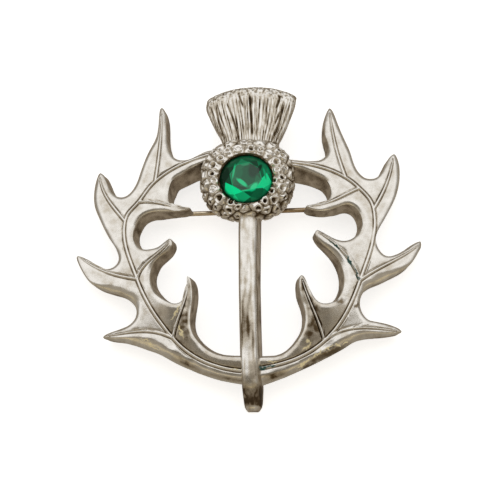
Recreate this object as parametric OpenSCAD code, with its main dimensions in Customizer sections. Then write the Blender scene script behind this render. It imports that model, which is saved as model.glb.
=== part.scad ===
// Thistle brooch: a cast thistle head on a stem between two lobed leaves, with a round faceted
// stone in the head and a hinged pin across the back.
// It lies face up. X runs across the leaves, Y from the end of the stem to the tuft, and Z is up.

/* [Domed face] */
// Height of the face at the middle of the brooch
face_top = 6.7; // [6.2:0.1:7.2]
// Radius of the sphere that the whole face follows
dome_r = 72; // [66:1:80]

/* [Overall] */
// Width of the casting across the leaf tips
cast_w = 50.1; // [49.8:0.1:50.2]

/* [Leaves] */
// Depth of the leaf walls near the middle of the brooch
leaf_depth = 3.6; // [3:0.1:4]
// Depth of the leaf walls at the outer tips
tip_depth = 2; // [1.6:0.1:2.2]
// Extra depth of the two arms that join the thistle head
arm_depth = 1.2; // [0:0.1:1.4]
// How much thinner the walls are at the inner lobes, beside the thistle head
inner_thin = 1.5; // [1:0.1:1.6]
// Metal left between the veins and the hollow back
leaf_shell = 1.7; // [1.4:0.1:2.2]
// Width of the rim round the hollow back
back_rim = 0.7; // [0.5:0.1:1]
// How far the walls spread for each millimetre that they go down
draft = 0.09; // [0:0.01:0.12]
// Drop of the face at the edge of a leaf
edge_drop = 0.35; // [0.2:0.05:0.5]
// Swell of the face between an edge and a vein
swell = 0.35; // [0.1:0.05:0.5]
// Height of a vein over the dome
vein_rise = 0.4; // [0.2:0.05:0.6]
// Distance from the middle of a vein to the groove beside it
vein_half_w = 0.45; // [0.3:0.05:0.6]

/* [Stem] */
// Width of the stem below the thistle head
stem_w = 3.1; // [2.6:0.1:3.4]
// Depth of the stem from its crown to its back, below the head
stem_depth = 2.9; // [2.6:0.1:3.1]

/* [Thistle head] */
// Half the width of the head
head_rx = 6.75; // [6.4:0.05:7]
// Half the length of the head
head_ry = 6.1; // [5.8:0.05:6.4]
// Height of the head's rim round the stone
head_top = 8; // [7.8:0.1:8.4]
// Height of the scales on the head
scale_rise = 0.3; // [0.1:0.05:0.4]

/* [Tuft] */
// Number of ribs across the tuft
tuft_ribs = 15; // [11:1:17]
// Height of a rib over the groove beside it
rib_relief = 0.4; // [0.2:0.05:0.5]
// Thickness of the tuft
tuft_depth = 3; // [2.4:0.1:3.2]
// How far the sides of the tuft lean in toward its back
tuft_lean = 0.5; // [0:0.1:0.8]

/* [Stone] */
// Diameter of the stone
stone_d = 7.6; // [7:0.1:7.8]
// Width of the stone's table
table_d = 4.6; // [3.6:0.1:4.8]
// Height of the stone's crown over its girdle
crown_h = 1; // [0.8:0.1:1.2]
// Depth of the stone below its girdle
pavilion_h = 2.6; // [2.2:0.1:2.8]
// Height of the girdle over the surface that the brooch lies on
girdle_z = 7.6; // [7.5:0.05:7.8]

/* [Pin] */
// Diameter of the pin's wire
wire_d = 0.7; // [0.6:0.05:0.8]
// Length of the pin from its hinge to its point
pin_l = 36.4; // [36:0.1:36.6]
// Length of the pin's tapered point
point_l = 7.9; // [6:0.1:9]
// Length of the shank beside the hinge, which tapers to the wire
shank_l = 4.5; // [3:0.1:5]
// Diameter of the shank at the hinge
shank_d = 0.84; // [0.8:0.02:0.88]
// Diameter of the rivet in the hinge
rivet_d = 0.8; // [0.7:0.05:0.9]
// Distance from the hinge to the middle of the catch
catch_reach = 34.6; // [34.2:0.1:34.8]

/* [Hidden] */

// The middle of the outline, which becomes the origin
mid_x = -0.4;
mid_y = 1.225;
// Reach of a knot along its heading, as a part of the chord, for smooth knots and lobe tips
knot_reach = 0.36;
tip_reach = 0.16;
slack = 0.001;
cut_over = 1;

// The walls thin by this rate outside this distance from the middle, down to the depth at the tips
thin_rate = 0.16;
thin_from = 10;
// Where the extra depth of the arms grows: toward the head, up from the bay below, down from the tips
arm_x = [16, 5];
arm_low = [6.5, 10.5];
arm_high = [20, 15];
// Where the walls of the inner lobes thin: toward the middle, and between these two heights
inner_x = [14, 9.5];
inner_low = [-6, -1];
inner_high = [10, 7];
// Across a leaf, from its edge to the vein: the width that has the full swell, and the places of the
// shoulder and the crown of the swell as parts of the width
full_w = 2.2;
shoulder_at = 0.15;
shoulder_swell = 0.3;
crown_at = 0.5;
groove_drop = 0.05;
// The most of that width that the back rim and the groove may take, and of the wall that the back may
rim_share = 0.4;
groove_share = 0.35;
back_share = 0.8;

// Middle of the thistle head and of its stone
head_x = -0.3;
head_y = 10.3;
head_back = 2.6;
stone_x = -0.35;
stone_y = 9.4;
// Turn of the stone, from the right side to a corner of its table
stone_turn = -11;
seat_gap = 0.08;
seat_d = stone_d + 2 * seat_gap;
seat_step = 0.25;
seat_z = girdle_z - seat_step;
culet_room = 1;

// The hinge: its middle, the turn of the pin from the X axis, the pin's eye and the plates beside it
hinge_x = -17;
hinge_y = 6.55;
hinge_z = 1.4;
pin_turn = 1;
eye_w = 0.8;
eye_d = 1.7;
plate_w = 0.8;
plate_d = 2.2;
root_h = 2;
// Room cut round the hinge in the hollow of the leaf, and how far it runs past the plates
hinge_room = 2.7;
hinge_margin = 0.35;
side_gap = 0.1;
rivet_gap = 0.03;
turn_gap = 0.08;
point_d = 0.1;
rivet_head = 0.1;
rivet_l = eye_w + 2 * (side_gap + plate_w + rivet_head);
// The catch: outer size, the round inside it, the mouth toward the back, and its width along the pin
catch_d = 2.4;
catch_bore = 1.2;
catch_mouth = 0.95;
catch_w = 1.6;

// Columns: what the edge passes here, x, y, heading.
// A named row starts a stretch of edge that faces the stretch of vein named in the route.
left_edge = [
  ["arm", -3.8, 15.5, 185], ["", -6.6, 15.2, 205], ["", -10.4, 14.1, 165],
  ["up A", -11.8, 15.5, 115], ["", -12.6, 18.8, 95],
  ["tip A", -13.6, 24.2, 170], ["", -13.9, 21.6, 270], ["", -14.6, 17.3, 245], ["", -16.1, 12.9, 255],
  ["bay AB", -17.3, 9.6, 235], ["", -19, 8.7, 170],
  ["up B", -20.4, 9.6, 130],
  ["tip B", -22.5, 13.4, 170], ["", -23.2, 11.2, 265], ["", -22.5, 6.4, 295], ["", -20.5, 2.3, 300],
  ["bay BC", -19.2, 0.1, 290], ["", -19, -1.5, 250],
  ["up C", -20.6, -2.4, 175],
  ["tip C", -25.3, 0.1, 190], ["", -24.4, -2.4, 300], ["", -22.4, -4.8, 325],
  ["bay CD", -17.5, -7.1, 325], ["", -16.1, -9.2, 270],
  ["up D", -17.4, -11, 205],
  ["tip D", -21, -12.3, 270], ["", -18.2, -13.2, 345], ["", -13.8, -14.8, 340],
  ["low rim", -9.8, -16.9, 335], ["", -5.5, -18.7, 340],
  ["stem end", 0, -19.9, 350],
  ["high rim", 0.1, -16.1, 180], ["", -3, -16, 175],
  ["up E", -6.9, -14.2, 135], ["", -8.3, -11.7, 100], ["", -8.1, -8, 85],
  ["tip E", -8.7, -4.6, 170], ["", -8.8, -6.3, 260],
  ["bay EF", -9.6, -8, 230],
  ["up F", -12.8, -7.2, 135], ["", -14.2, -4.8, 100], ["", -13.8, -2.4, 65], ["", -11.1, 0.4, 75],
  ["tip F", -11.4, 1.3, 165], ["", -13.1, 0.2, 205],
  ["bay FG", -14.7, -0.1, 180], ["", -16.9, 2.1, 95],
  ["up G", -16.2, 4.6, 60], ["", -11.2, 5.5, 350],
  ["tip G", -8.6, 5.8, 50],
  ["bay GA", -10.6, 6.2, 175],
  ["under arm", -11.5, 10.3, 70], ["", -9.5, 12, 35],
  ["head end", -3.7, 14.6, 20]
];
right_edge = [
  ["arm", 3.7, 13.9, 0], ["", 6.2, 13.5, 355], ["", 9.7, 13.4, 5],
  ["up A", 11.6, 15.3, 80], ["", 11.1, 18.5, 95], ["", 11.3, 21.6, 80],
  ["tip A", 11.9, 23.2, 5], ["", 13, 20.5, 285], ["", 14.5, 16, 290],
  ["bay AB", 16.5, 11.1, 320], ["", 17.7, 10.8, 5],
  ["up B", 19.5, 12.4, 65],
  ["tip B", 21.3, 15.5, 5], ["", 22, 13, 270], ["", 21.5, 9.1, 255],
  ["bay BC", 18.4, 2.5, 245], ["", 18.1, 0.5, 285],
  ["up C", 19.8, -1.3, 5],
  ["tip C", 24.5, 1.4, 5], ["", 24.5, 0.3, 240], ["", 22.6, -2.6, 225], ["", 19.4, -4.7, 210],
  ["bay CD", 16.4, -6.4, 225], ["", 15.5, -8.5, 270],
  ["up D", 17.3, -10.9, 355],
  ["tip D", 21.3, -12.1, 270], ["", 19.3, -12.8, 190], ["", 15.7, -13.4, 195],
  ["low rim", 12.6, -15.1, 210], ["", 8.3, -17.3, 205], ["", 4.2, -19.1, 200],
  ["stem end", 0, -20.5, 200],
  ["high rim", 0.1, -16.3, 5], ["", 3.4, -16.1, 5],
  ["up E", 7, -13.5, 55], ["", 7.4, -8.3, 110],
  ["tip E", 7.4, -4.7, 0],
  ["bay EF", 9.6, -8.4, 320],
  ["up F", 12.7, -7.6, 60], ["", 12.6, -2.2, 120], ["", 9.4, 1.5, 110],
  ["tip F", 9.7, 2.1, 0],
  ["bay FG", 13.2, 0.6, 355], ["", 16.2, 3.6, 90],
  ["up G", 14.5, 6.3, 165], ["", 12.4, 5.7, 200], ["", 10.4, 5.1, 185],
  ["tip G", 8.2, 5.7, 115],
  ["bay GA", 10.7, 6.5, 20], ["", 11.8, 8.2, 90],
  ["under arm", 10.5, 10.7, 150], ["", 8.1, 11.9, 160],
  ["head end", 3.7, 12.8, 170]
];

// Columns: stretch of vein, steps along it, x, y, heading at its root, x, y, heading at its far end
left_veins = [
  ["arm", 8, -3.8, 15.2, 193, -13.9, 10.7, 222], ["A to G", 2, -13.9, 10.7, 222, -16.3, 7.5, 232],
  ["G to B", 2, -16.3, 7.5, 232, -18.2, 4.7, 262], ["B to C", 6, -18.2, 4.7, 262, -16.1, -4.4, 290],
  ["C to D", 6, -16.1, -4.4, 290, -10.8, -13.2, 310], ["D to stem", 8, -10.8, -13.2, 310, 0, -18.1, 357],
  ["A", 9, -13.9, 10.7, 84, -13.5, 22.9, 92], ["B", 7, -18.2, 4.7, 127, -22.5, 12.5, 100],
  ["C", 7, -16.1, -4.4, 168, -24.6, -0.4, 140], ["D", 7, -10.8, -13.2, 150, -20, -12.2, 184],
  ["E", 6, -10.8, -13.2, 80, -8.6, -5.5, 85], ["F", 5, -16.1, -4.4, 78, -11.5, 0.7, 52],
  ["G", 5, -16.3, 7.5, 5, -9.2, 5.8, 350]
];
right_veins = [
  ["arm", 8, 3.7, 13.3, 355, 14, 10.7, 328], ["A to G", 2, 14, 10.7, 328, 15.9, 9.1, 313],
  ["G to B", 2, 15.9, 9.1, 313, 17.9, 5.9, 278], ["B to C", 6, 17.9, 5.9, 278, 15.6, -5.2, 250],
  ["C to D", 6, 15.6, -5.2, 250, 10.4, -13.9, 222], ["D to stem", 8, 10.4, -13.9, 222, 0, -17.9, 187],
  ["A", 9, 14, 10.7, 108, 11.9, 22.2, 95], ["B", 7, 17.9, 5.9, 60, 21.1, 14.5, 80],
  ["C", 7, 15.6, -5.2, 40, 24.1, 0.6, 42], ["D", 7, 10.4, -13.9, 42, 20.5, -12.1, 355],
  ["E", 6, 10.4, -13.9, 103, 7.5, -5.5, 105], ["F", 5, 15.6, -5.2, 108, 10, 1.6, 150],
  ["G", 5, 15.9, 9.1, 208, 8.9, 5.8, 186]
];
// The vein stretches that face each stretch of edge, in the same order; 1 runs outward, -1 back
route = [
  [["arm", 1]], [["A", 1]], [["A", -1]], [["A to G", 1], ["G to B", 1]], [["B", 1]], [["B", -1]],
  [["B to C", 1]], [["C", 1]], [["C", -1]], [["C to D", 1]], [["D", 1]], [["D", -1]],
  [["D to stem", 1]], [["D to stem", 0]], [["D to stem", -1]],
  [["E", 1]], [["E", -1]], [["C to D", -1]], [["F", 1]], [["F", -1]],
  [["B to C", -1], ["G to B", -1]], [["G", 1]], [["G", -1]], [["A to G", -1]],
  [["arm", -1]], [["arm", 2]]
];
end_steps = 3;

// Columns: y, middle x, width as a part of stem_w, height of the crown, depth as a part of stem_depth
stem_rows = [
  [5.5, 0, 1, 6.2, 1], [0, -0.05, 0.98, 6.35, 1], [-6, -0.05, 0.95, 6.4, 1], [-12, 0.05, 0.95, 6.15, 1],
  [-16, 0.15, 0.95, 5.95, 1.1], [-19.4, 0.27, 0.92, 5.7, 1.38], [-20.6, 0.3, 0.88, 5.2, 1.44],
  [-21.4, 0.3, 0.82, 4, 1.34], [-22.1, 0.3, 0.72, 2.3, 0.78], [-22.6, 0.3, 0.6, 1.9, 0.64],
  [-22.9, 0.3, 0.4, 1.5, 0.5]
];
stem_spread = 1.06;

// Columns: size against the plan of the head, height over the floor, and which scales rise there:
// 1 and 2 are the two staggered sets
head_rows = [
  [0.84, head_back, 0], [0.92, 3.2, 0], [0.98, 4.1, 0], [0.99, 4.65, 1], [1, 5.1, 0], [0.99, 5.6, 2],
  [0.97, 6.1, 0], [0.935, 6.6, 1], [0.89, 7.05, 0], [0.835, 7.45, 2], [0.77, 7.75, 0], [0.7, 7.95, 1],
  [0.63, head_top, 0], [0.54, head_top, 0]
];
head_scales = 16;
sides_per_scale = 4;
scale_tilt = 2;
head_square = 2.4;

// Columns: x and y of the tuft's left side, x and y of its right side, height of the face
tuft_rows = [
  [-4.1, 15.2, 4.4, 15.2, 6.1], [-4.1, 16.6, 4.4, 16.3, 5.8], [-5, 18.4, 5.3, 18.1, 5.9],
  [-5.9, 20.4, 6.1, 20.3, 5.9], [-6.5, 22.3, 6.8, 22.4, 5.8], [-6.4, 23.7, 7, 24, 5.6]
];
// How far the middle of each row of the tuft bows away from the head
tuft_bow = [0, 0.2, 0.8, 1.3, 1.5, 1.5];
steps_per_rib = 2;
tuft_side_drop = 0.7;

function is_tip(name) = len(name) == 5 && name[0] == "t";
// A knot of a curve: x, y, heading, reach
function knot(row) = [row[1], row[2], row[3], is_tip(row[0]) ? tip_reach : knot_reach];
function total(list, n) = n <= 0 ? 0 : list[n - 1] + total(list, n - 1);
// A smooth step from 0 to 1 over a span, which may run downward
function fade(span, v) = let (t = max(0, min(1, (v - span[0]) / (span[1] - span[0])))) t * t * (3 - 2 * t);

// A point between two knots, each of which pulls along its own heading
function curve(a, b, t) =
  let (chord = norm([b[0] - a[0], b[1] - a[1]]), s = 1 - t,
       pull_a = [a[0], a[1]] + chord * a[3] * [cos(a[2]), sin(a[2])],
       pull_b = [b[0], b[1]] - chord * b[3] * [cos(b[2]), sin(b[2])])
  s * s * s * [a[0], a[1]] + 3 * s * s * t * pull_a + 3 * s * t * t * pull_b + t * t * t * [b[0], b[1]];

// n points along a chain of knots, evenly by the chords and without the last knot
function along(knots, n) =
  let (spans = len(knots) - 1,
       chords = [for (i = [0:spans - 1]) norm([knots[i + 1][0] - knots[i][0], knots[i + 1][1] - knots[i][1]])],
       upto = [for (i = [0:spans]) total(chords, i)])
  [for (j = [0:n - 1])
    let (s = upto[spans] * j / n,
         i = [for (k = [0:spans - 1]) if (s < upto[k + 1] - slack || k == spans - 1) k][0])
    curve(knots[i], knots[i + 1], (s - upto[i]) / chords[i])];

// The points of one stretch of vein, from its root, with both ends
function vein_points(veins, name) =
  let (v = [for (row = veins) if (row[0] == name) row][0])
  [for (j = [0:v[1]])
    curve([v[2], v[3], v[4], knot_reach], [v[5], v[6], v[7], knot_reach], j / v[1])];

// The same points as a route asks for them, without the last: 1 outward, -1 back, and 0 or 2
// for an end of the leaf, where the far or the near end of the vein is faced throughout
function faced(veins, leg) =
  let (p = vein_points(veins, leg[0]), n = len(p) - 1)
  leg[1] == 0 ? [for (j = [1:end_steps]) p[n]]
  : leg[1] == 2 ? [for (j = [1:end_steps]) p[0]]
  : [for (j = [0:n - 1]) leg[1] == 1 ? p[j] : p[n - j]];

function dome(p) = face_top - (p[0] * p[0] + p[1] * p[1]) / (2 * dome_r);
// Depth of the walls: thinner toward the tips, deeper where the arms join the head
function wall(p) =
  let (thin = leaf_depth - (norm(p) - thin_from) * thin_rate,
       arm = fade(arm_x, abs(p[0])) * fade(arm_low, p[1]) * fade(arm_high, p[1]),
       inner = fade(inner_x, abs(p[0])) * fade(inner_low, p[1]) * fade(inner_high, p[1]))
  min(dome(p), max(tip_depth, min(leaf_depth, thin) - inner_thin * inner) + arm_depth * arm);
// A point below p, square to the dome and spread outward by the draft
function below(p, out, depth) =
  let (q = p + depth * (draft * out - p / dome_r)) [q[0], q[1], dome(p) - depth];

// The loop of a leaf: edge point, vein point that it faces, and the way out of the edge
function leaf_loop(edge, veins, turn) =
  let (starts = [for (i = [0:len(edge) - 1]) if (edge[i][0] != "") i],
       runs = len(starts),
       pairs = [for (k = [0:runs - 1])
         let (from = starts[k], to = k == runs - 1 ? len(edge) : starts[k + 1],
              knots = [for (i = [from:to]) knot(edge[i % len(edge)])],
              inner = [for (leg = route[k], p = faced(veins, leg)) p],
              outer = along(knots, len(inner)))
         for (j = [0:len(inner) - 1]) [outer[j], inner[j]]],
       n = len(pairs))
  [for (i = [0:n - 1])
    let (t = pairs[(i + 1) % n][0] - pairs[(i + n - 1) % n][0])
    [pairs[i][0], pairs[i][1], turn * [t[1], -t[0]] / norm(t)]];

// One section of a leaf, from the hollow back round the edge to the vein
function leaf_section(pair) =
  let (p = pair[0], q = pair[1], out = pair[2], w = norm(q - p), way = (q - p) / w,
       full = min(1, w / full_w), depth = wall(p),
       rim = p + way * min(back_rim, rim_share * w),
       shoulder = p + way * shoulder_at * w, crown = p + way * crown_at * w,
       groove = q - way * min(vein_half_w, groove_share * w),
       back = min(wall(q) * back_share, leaf_shell))
  [[q[0], q[1], dome(q) - back],
   below(rim, out, min(depth, dome(rim))),
   below(p, out, depth),
   [p[0], p[1], dome(p) - edge_drop * full],
   [shoulder[0], shoulder[1], dome(shoulder) + swell * shoulder_swell * full],
   [crown[0], crown[1], dome(crown) + swell * full],
   [groove[0], groove[1], dome(groove) - groove_drop],
   [q[0], q[1], dome(q) + vein_rise]];

// A closed skin over sections that each run from the back to the face
module leaf(edge, veins, turn) {
  sections = [for (pair = leaf_loop(edge, veins, turn)) leaf_section(pair)];
  rows = len(sections[0]);
  n = len(sections);
  points = [for (s = sections, p = s) p];
  corners = [for (i = [0:n - 1], r = [0:rows - 2])
    let (a = i * rows + r, b = (i + 1) % n * rows + r)
    for (t = [[a, b, b + 1], [a, b + 1, a + 1]])
      if (norm(points[t[0]] - points[t[1]]) > slack && norm(points[t[1]] - points[t[2]]) > slack
          && norm(points[t[2]] - points[t[0]]) > slack)
        turn > 0 ? [t[0], t[2], t[1]] : t];
  polyhedron(points, corners, convexity = 10);
}

// A closed skin over rings of equal length, with both ends closed
module skin(rings) {
  n = len(rings[0]);
  last = len(rings) - 1;
  points = [for (ring = rings, p = ring) p];
  sides = [for (k = [0:last - 1], i = [0:n - 1])
    let (a = k * n + i, b = k * n + (i + 1) % n)
    for (t = [[a, b + n, b], [a, a + n, b + n]]) t];
  polyhedron(points, concat([[for (i = [0:n - 1]) i]], sides, [[for (i = [n - 1:-1:0]) last * n + i]]),
             convexity = 6);
}

module stem() {
  crown_steps = 8;
  skin([for (row = stem_rows)
    let (half = row[2] * stem_w / 2, back = max(0, row[3] - row[4] * stem_depth),
         spring = (row[3] + 2 * back) / 3)
    concat([[row[1] + half * stem_spread, row[0], back]],
           [for (i = [0:crown_steps])
             let (a = 180 * i / crown_steps)
             [row[1] + half * cos(a), row[0], spring + (row[3] - spring) * sin(a)]],
           [[row[1] - half * stem_spread, row[0], back]])]);
}

// The plan of the head: a rounded square drawn out a little sideways
function head_plan(a, size) =
  let (c = cos(a), s = sin(a),
       r = 1 / pow(pow(abs(c) / head_rx, head_square) + pow(abs(s) / head_ry, head_square), 1 / head_square))
  [head_x + size * r * c, head_y + size * r * s];

// A skin whose rings carry staggered rows of pointed scales
module head() {
  sides = head_scales * sides_per_scale;
  function rise(set, i) =
    set > 0 && i % sides_per_scale == (set == 1 ? 0 : sides_per_scale / 2) ? scale_rise : 0;
  skin([for (row = head_rows)
    [for (i = [0:sides - 1])
      let (lift = rise(row[2], i), p = head_plan(360 * i / sides, row[0] + lift / head_rx * row[0]))
      [p[0], p[1], row[1] + lift * (1 - row[0]) * scale_tilt]]]);
}

// The tuft: ribs fan out from the neck, with the grooves between them
module tuft() {
  steps = tuft_ribs * steps_per_rib;
  rows = len(tuft_rows);
  function at(k, i, z, lean) =
    let (row = tuft_rows[k], u = i / steps, bow = 4 * u * (1 - u))
    [row[0] + (row[2] - row[0]) * u + lean * (1 - 2 * u),
     row[1] + (row[3] - row[1]) * u + tuft_bow[k] * bow - lean * k / (rows - 1), z];
  function face_z(k, i) =
    let (u = i / steps, bow = 4 * u * (1 - u))
    tuft_rows[k][4] - tuft_side_drop * (1 - bow) + (i % steps_per_rib == 0 ? -rib_relief : 0);
  rings = [for (k = [0:rows - 1])
    concat([for (i = [0:steps]) at(k, i, face_z(k, i), 0)],
           [for (i = [steps:-1:0]) at(k, i, tuft_rows[k][4] - tuft_depth, tuft_lean)])];
  skin(rings);
}

// Everything that was cast in one piece
module cast_body() {
  leaf(left_edge, left_veins, 1);
  leaf(right_edge, right_veins, -1);
  stem();
  head();
  tuft();
}

// Children are drawn along the pin: X from the hinge to the point, Y along the hinge's axis
module on_pin() {
  translate([hinge_x, hinge_y, hinge_z]) rotate([0, 0, pin_turn]) children();
}
module bar_y(d, l) {
  rotate([90, 0, 0]) cylinder(h = l, d = d, center = true, $fn = 40);
}

// Two plates with a hole each, soldered into the hollow of the left leaf
module hinge_plates() {
  for (side = [-1, 1])
    translate([0, side * (eye_w / 2 + side_gap + plate_w / 2), 0]) difference() {
      union() {
        bar_y(plate_d, plate_w);
        translate([-plate_d / 2, -plate_w / 2, 0]) cube([plate_d, plate_w, root_h]);
      }
      bar_y(rivet_d + 2 * rivet_gap, plate_w + cut_over);
    }
}

// A hook for the point of the pin, open toward the back, soldered into the right leaf
module catch() {
  translate([catch_reach, 0, 0]) difference() {
    union() {
      rotate([0, 90, 0]) cylinder(h = catch_w, d = catch_d, center = true, $fn = 40);
      translate([-catch_w / 2, -catch_d / 2, 0]) cube([catch_w, catch_d, root_h]);
    }
    rotate([0, 90, 0]) cylinder(h = catch_w + cut_over, d = catch_bore, center = true, $fn = 40);
    translate([-(catch_w + cut_over) / 2, -catch_mouth / 2, -catch_d])
      cube([catch_w + cut_over, catch_mouth, catch_d]);
  }
}

// Room for the stone: a straight wall round the girdle and a cone for the pavilion
module seat() {
  translate([stone_x, stone_y, 0]) {
    translate([0, 0, seat_z]) cylinder(h = head_top, d = seat_d, $fn = 32);
    translate([0, 0, seat_z - pavilion_h]) cylinder(h = pavilion_h, d1 = culet_room, d2 = seat_d, $fn = 32);
  }
}

module casting() {
  color("#b7b0a4") translate([-mid_x, -mid_y, 0]) {
    resize([cast_w, 0, 0]) difference() {
      cast_body();
      seat();
      on_pin() bar_y(hinge_room, eye_w + 2 * (side_gap + plate_w + hinge_margin));
    }
    on_pin() {
      hinge_plates();
      catch();
    }
  }
}

// A round cut stone: table, 8 stars, 8 kites and 16 halves above, 8 kites and 16 halves below
module stone() {
  girdle_h = 0.15;
  kite_r = stone_d * 0.4;
  low_r = stone_d * 0.13;
  table_r = table_d / 2;
  r = stone_d / 2;
  half_turn = cos(22.5);
  kite_z = crown_h * (r - kite_r * half_turn) / (r - table_r);
  low_z = -girdle_h - (pavilion_h - girdle_h) * (1 - low_r * half_turn / r);
  function ring(n, radius, start, z) =
    [for (i = [0:n - 1]) [radius * cos(start + 360 * i / n), radius * sin(start + 360 * i / n), z]];
  points = concat(ring(8, table_r, 0, crown_h), ring(8, kite_r, 22.5, kite_z), ring(16, r, 0, 0),
                  ring(16, r, 0, -girdle_h), ring(8, low_r, 22.5, low_z), [[0, 0, -pavilion_h]]);
  kite = 8;
  top = 16;
  under = 32;
  low = 48;
  tip = 56;
  facets = concat([[for (i = [0:7]) i]],
    [for (i = [0:7])
      let (n = (i + 1) % 8, last = (i + 7) % 8, g = 2 * i, h = 2 * i + 1, e = (2 * i + 2) % 16)
      for (f = [[i, kite + i, n], [i, kite + last, top + g], [i, top + g, kite + i],
                [kite + i, top + g, top + h], [kite + i, top + h, top + e],
                [top + g, under + g, under + h], [top + g, under + h, top + h],
                [top + h, under + h, under + e], [top + h, under + e, top + e],
                [under + g, low + i, under + h], [under + h, low + i, under + e],
                [under + g, low + last, tip], [under + g, tip, low + i]]) f]);
  color("#0b7a4b") translate([stone_x - mid_x, stone_y - mid_y, girdle_z]) rotate([0, 0, stone_turn])
    polyhedron(points, [for (f = facets) [for (j = [len(f) - 1:-1:0]) f[j]]], convexity = 2);
}

// Wire with an eye and a tapered shank at the hinge, and a long point at the catch
module pin_stem() {
  straight_l = pin_l - point_l - shank_l;
  color("#9c8468") translate([-mid_x, -mid_y, 0]) on_pin() difference() {
    union() {
      bar_y(eye_d, eye_w);
      rotate([0, 90, 0]) {
        cylinder(h = shank_l, d1 = shank_d, d2 = wire_d, $fn = 32);
        translate([0, 0, shank_l]) cylinder(h = straight_l, d = wire_d, $fn = 32);
        translate([0, 0, shank_l + straight_l]) cylinder(h = point_l, d1 = wire_d, d2 = point_d, $fn = 32);
      }
    }
    bar_y(rivet_d + 2 * turn_gap, eye_w + cut_over);
  }
}

module hinge_rivet() {
  color("#9c8468") translate([-mid_x, -mid_y, 0]) on_pin() bar_y(rivet_d, rivet_l);
}

casting();
stone();
pin_stem();
hinge_rivet();
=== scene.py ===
# A cast thistle brooch that lies face up: two lobed leaves, a stem, a scaled head that holds a green
# stone, a ribbed tuft, and the hinge, wire and catch of the pin behind them.
# The dictionaries hold millimetres, measured from the middle of the dome. Meshes are in metres.
from math import cos, pi, radians, sin, tan

import bmesh
import bpy
import numpy as np
from mathutils import Matrix, Vector, noise


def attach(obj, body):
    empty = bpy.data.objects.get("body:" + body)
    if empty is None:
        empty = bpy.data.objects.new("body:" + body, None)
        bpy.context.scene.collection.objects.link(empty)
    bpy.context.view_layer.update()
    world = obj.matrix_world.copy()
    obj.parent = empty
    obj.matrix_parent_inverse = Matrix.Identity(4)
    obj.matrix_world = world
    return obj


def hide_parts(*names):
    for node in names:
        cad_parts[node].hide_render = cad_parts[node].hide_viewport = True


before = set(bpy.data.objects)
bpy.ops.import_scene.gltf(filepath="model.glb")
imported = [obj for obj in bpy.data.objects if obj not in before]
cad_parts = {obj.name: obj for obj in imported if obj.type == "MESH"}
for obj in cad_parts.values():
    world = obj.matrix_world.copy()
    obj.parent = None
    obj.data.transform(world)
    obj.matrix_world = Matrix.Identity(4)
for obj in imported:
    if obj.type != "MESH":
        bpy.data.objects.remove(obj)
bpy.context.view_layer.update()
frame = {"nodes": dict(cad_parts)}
mm = 0.001
print("frame loaded:", ", ".join(frame["nodes"]))

# The dome that the whole face follows, and where its middle lies from the origin
dome = {"top": 6.7, "radius": 72, "middle": (-0.4, 1.225)}


def domeZ(x, y):
    return dome["top"] - (x * x + y * y) / (2 * dome["radius"])


def ease(low, high, value):  # a smooth step from 0 to 1, also with low above high
    t = np.clip((value - low) / (high - low), 0, 1)
    return t * t * (3 - 2 * t)


def bump(distance, width):  # a soft bell, 1 at no distance
    return np.exp(-(distance / width) ** 2)


def grain(points, scale, seed=0):  # smooth noise from -1 to 1 at points in millimetres
    shift = Vector((seed * 7.3, seed * 3.1, seed * 5.7))
    return np.array([noise.noise(Vector(p) * scale + shift) for p in points.reshape(-1, 3)]
                    ).reshape(points.shape[:-1])


# Camera: straight at the face, from a little below it and to its right

view = {
    "target": (0.4, -1.225, 3.8),
    "tiltDown": 20,        # degrees toward the end of the stem
    "tiltRight": 3,        # degrees
    "distance": 190,
    "frameWidth": 71.85,   # what the image spans at the target
    "sensor": 36,
}


def makeCamera():
    toEye = Vector((tan(radians(view["tiltRight"])), -tan(radians(view["tiltDown"])), 1)).normalized()
    right = Vector((0, 1, 0)).cross(toEye).normalized()
    up = toEye.cross(right)
    data = bpy.data.cameras.new("camera")
    data.sensor_width = view["sensor"]
    data.lens = view["sensor"] * view["distance"] / view["frameWidth"]
    data.clip_start = 0.01
    camera = bpy.data.objects.new("camera", data)
    place = (Vector(view["target"]) + toEye * view["distance"]) * mm
    camera.matrix_world = Matrix.Translation(place) @ Matrix((right, up, toEye)).transposed().to_4x4()
    bpy.context.scene.collection.objects.link(camera)
    bpy.context.scene.camera = camera


makeCamera()
print("camera set")


# Mesh helpers

def gridQuads(rows, columns, wrapRows=False, wrapColumns=False):
    i = np.arange(rows if wrapRows else rows - 1)
    j = np.arange(columns if wrapColumns else columns - 1)
    a, b = np.meshgrid(i, j, indexing="ij")
    down = (a + 1) % rows
    along = (b + 1) % columns
    quads = [a * columns + b, a * columns + along, down * columns + along, down * columns + b]
    return np.stack(quads, -1).reshape(-1, 4)


def makePiece(name, points, quads, values, material, flip=False, smooth=True):
    # points in millimetres; points that coincide become one, and quads that collapse go
    keys = np.round(points / 1e-4).astype(np.int64)
    keys, first, index = np.unique(keys, axis=0, return_index=True, return_inverse=True)
    quads = index.ravel()[quads]
    if flip:
        quads = quads[:, ::-1]
    corners = []
    for quad in quads.tolist():
        face = [c for n, c in enumerate(quad) if c != quad[n - 1]]
        if len(set(face)) == len(face) and len(face) > 2:
            corners.append(face)
    middle = np.array([*dome["middle"], 0])
    mesh = bpy.data.meshes.new(name)
    mesh.from_pydata(((points[first] - middle) * mm).tolist(), [], corners)
    for key, value in values.items():
        layer = mesh.attributes.new(key, "FLOAT", "POINT")
        layer.data.foreach_set("value", value.ravel()[first].astype(np.float32))
    mesh.polygons.foreach_set("use_smooth", [smooth] * len(mesh.polygons))
    mesh.materials.append(material)
    mesh.update()
    piece = bpy.data.objects.new(name, mesh)
    bpy.context.scene.collection.objects.link(piece)
    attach(piece, "brooch")
    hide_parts("casting")
    print("made", name, "with", len(corners), "faces")
    return piece


# Materials

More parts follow.
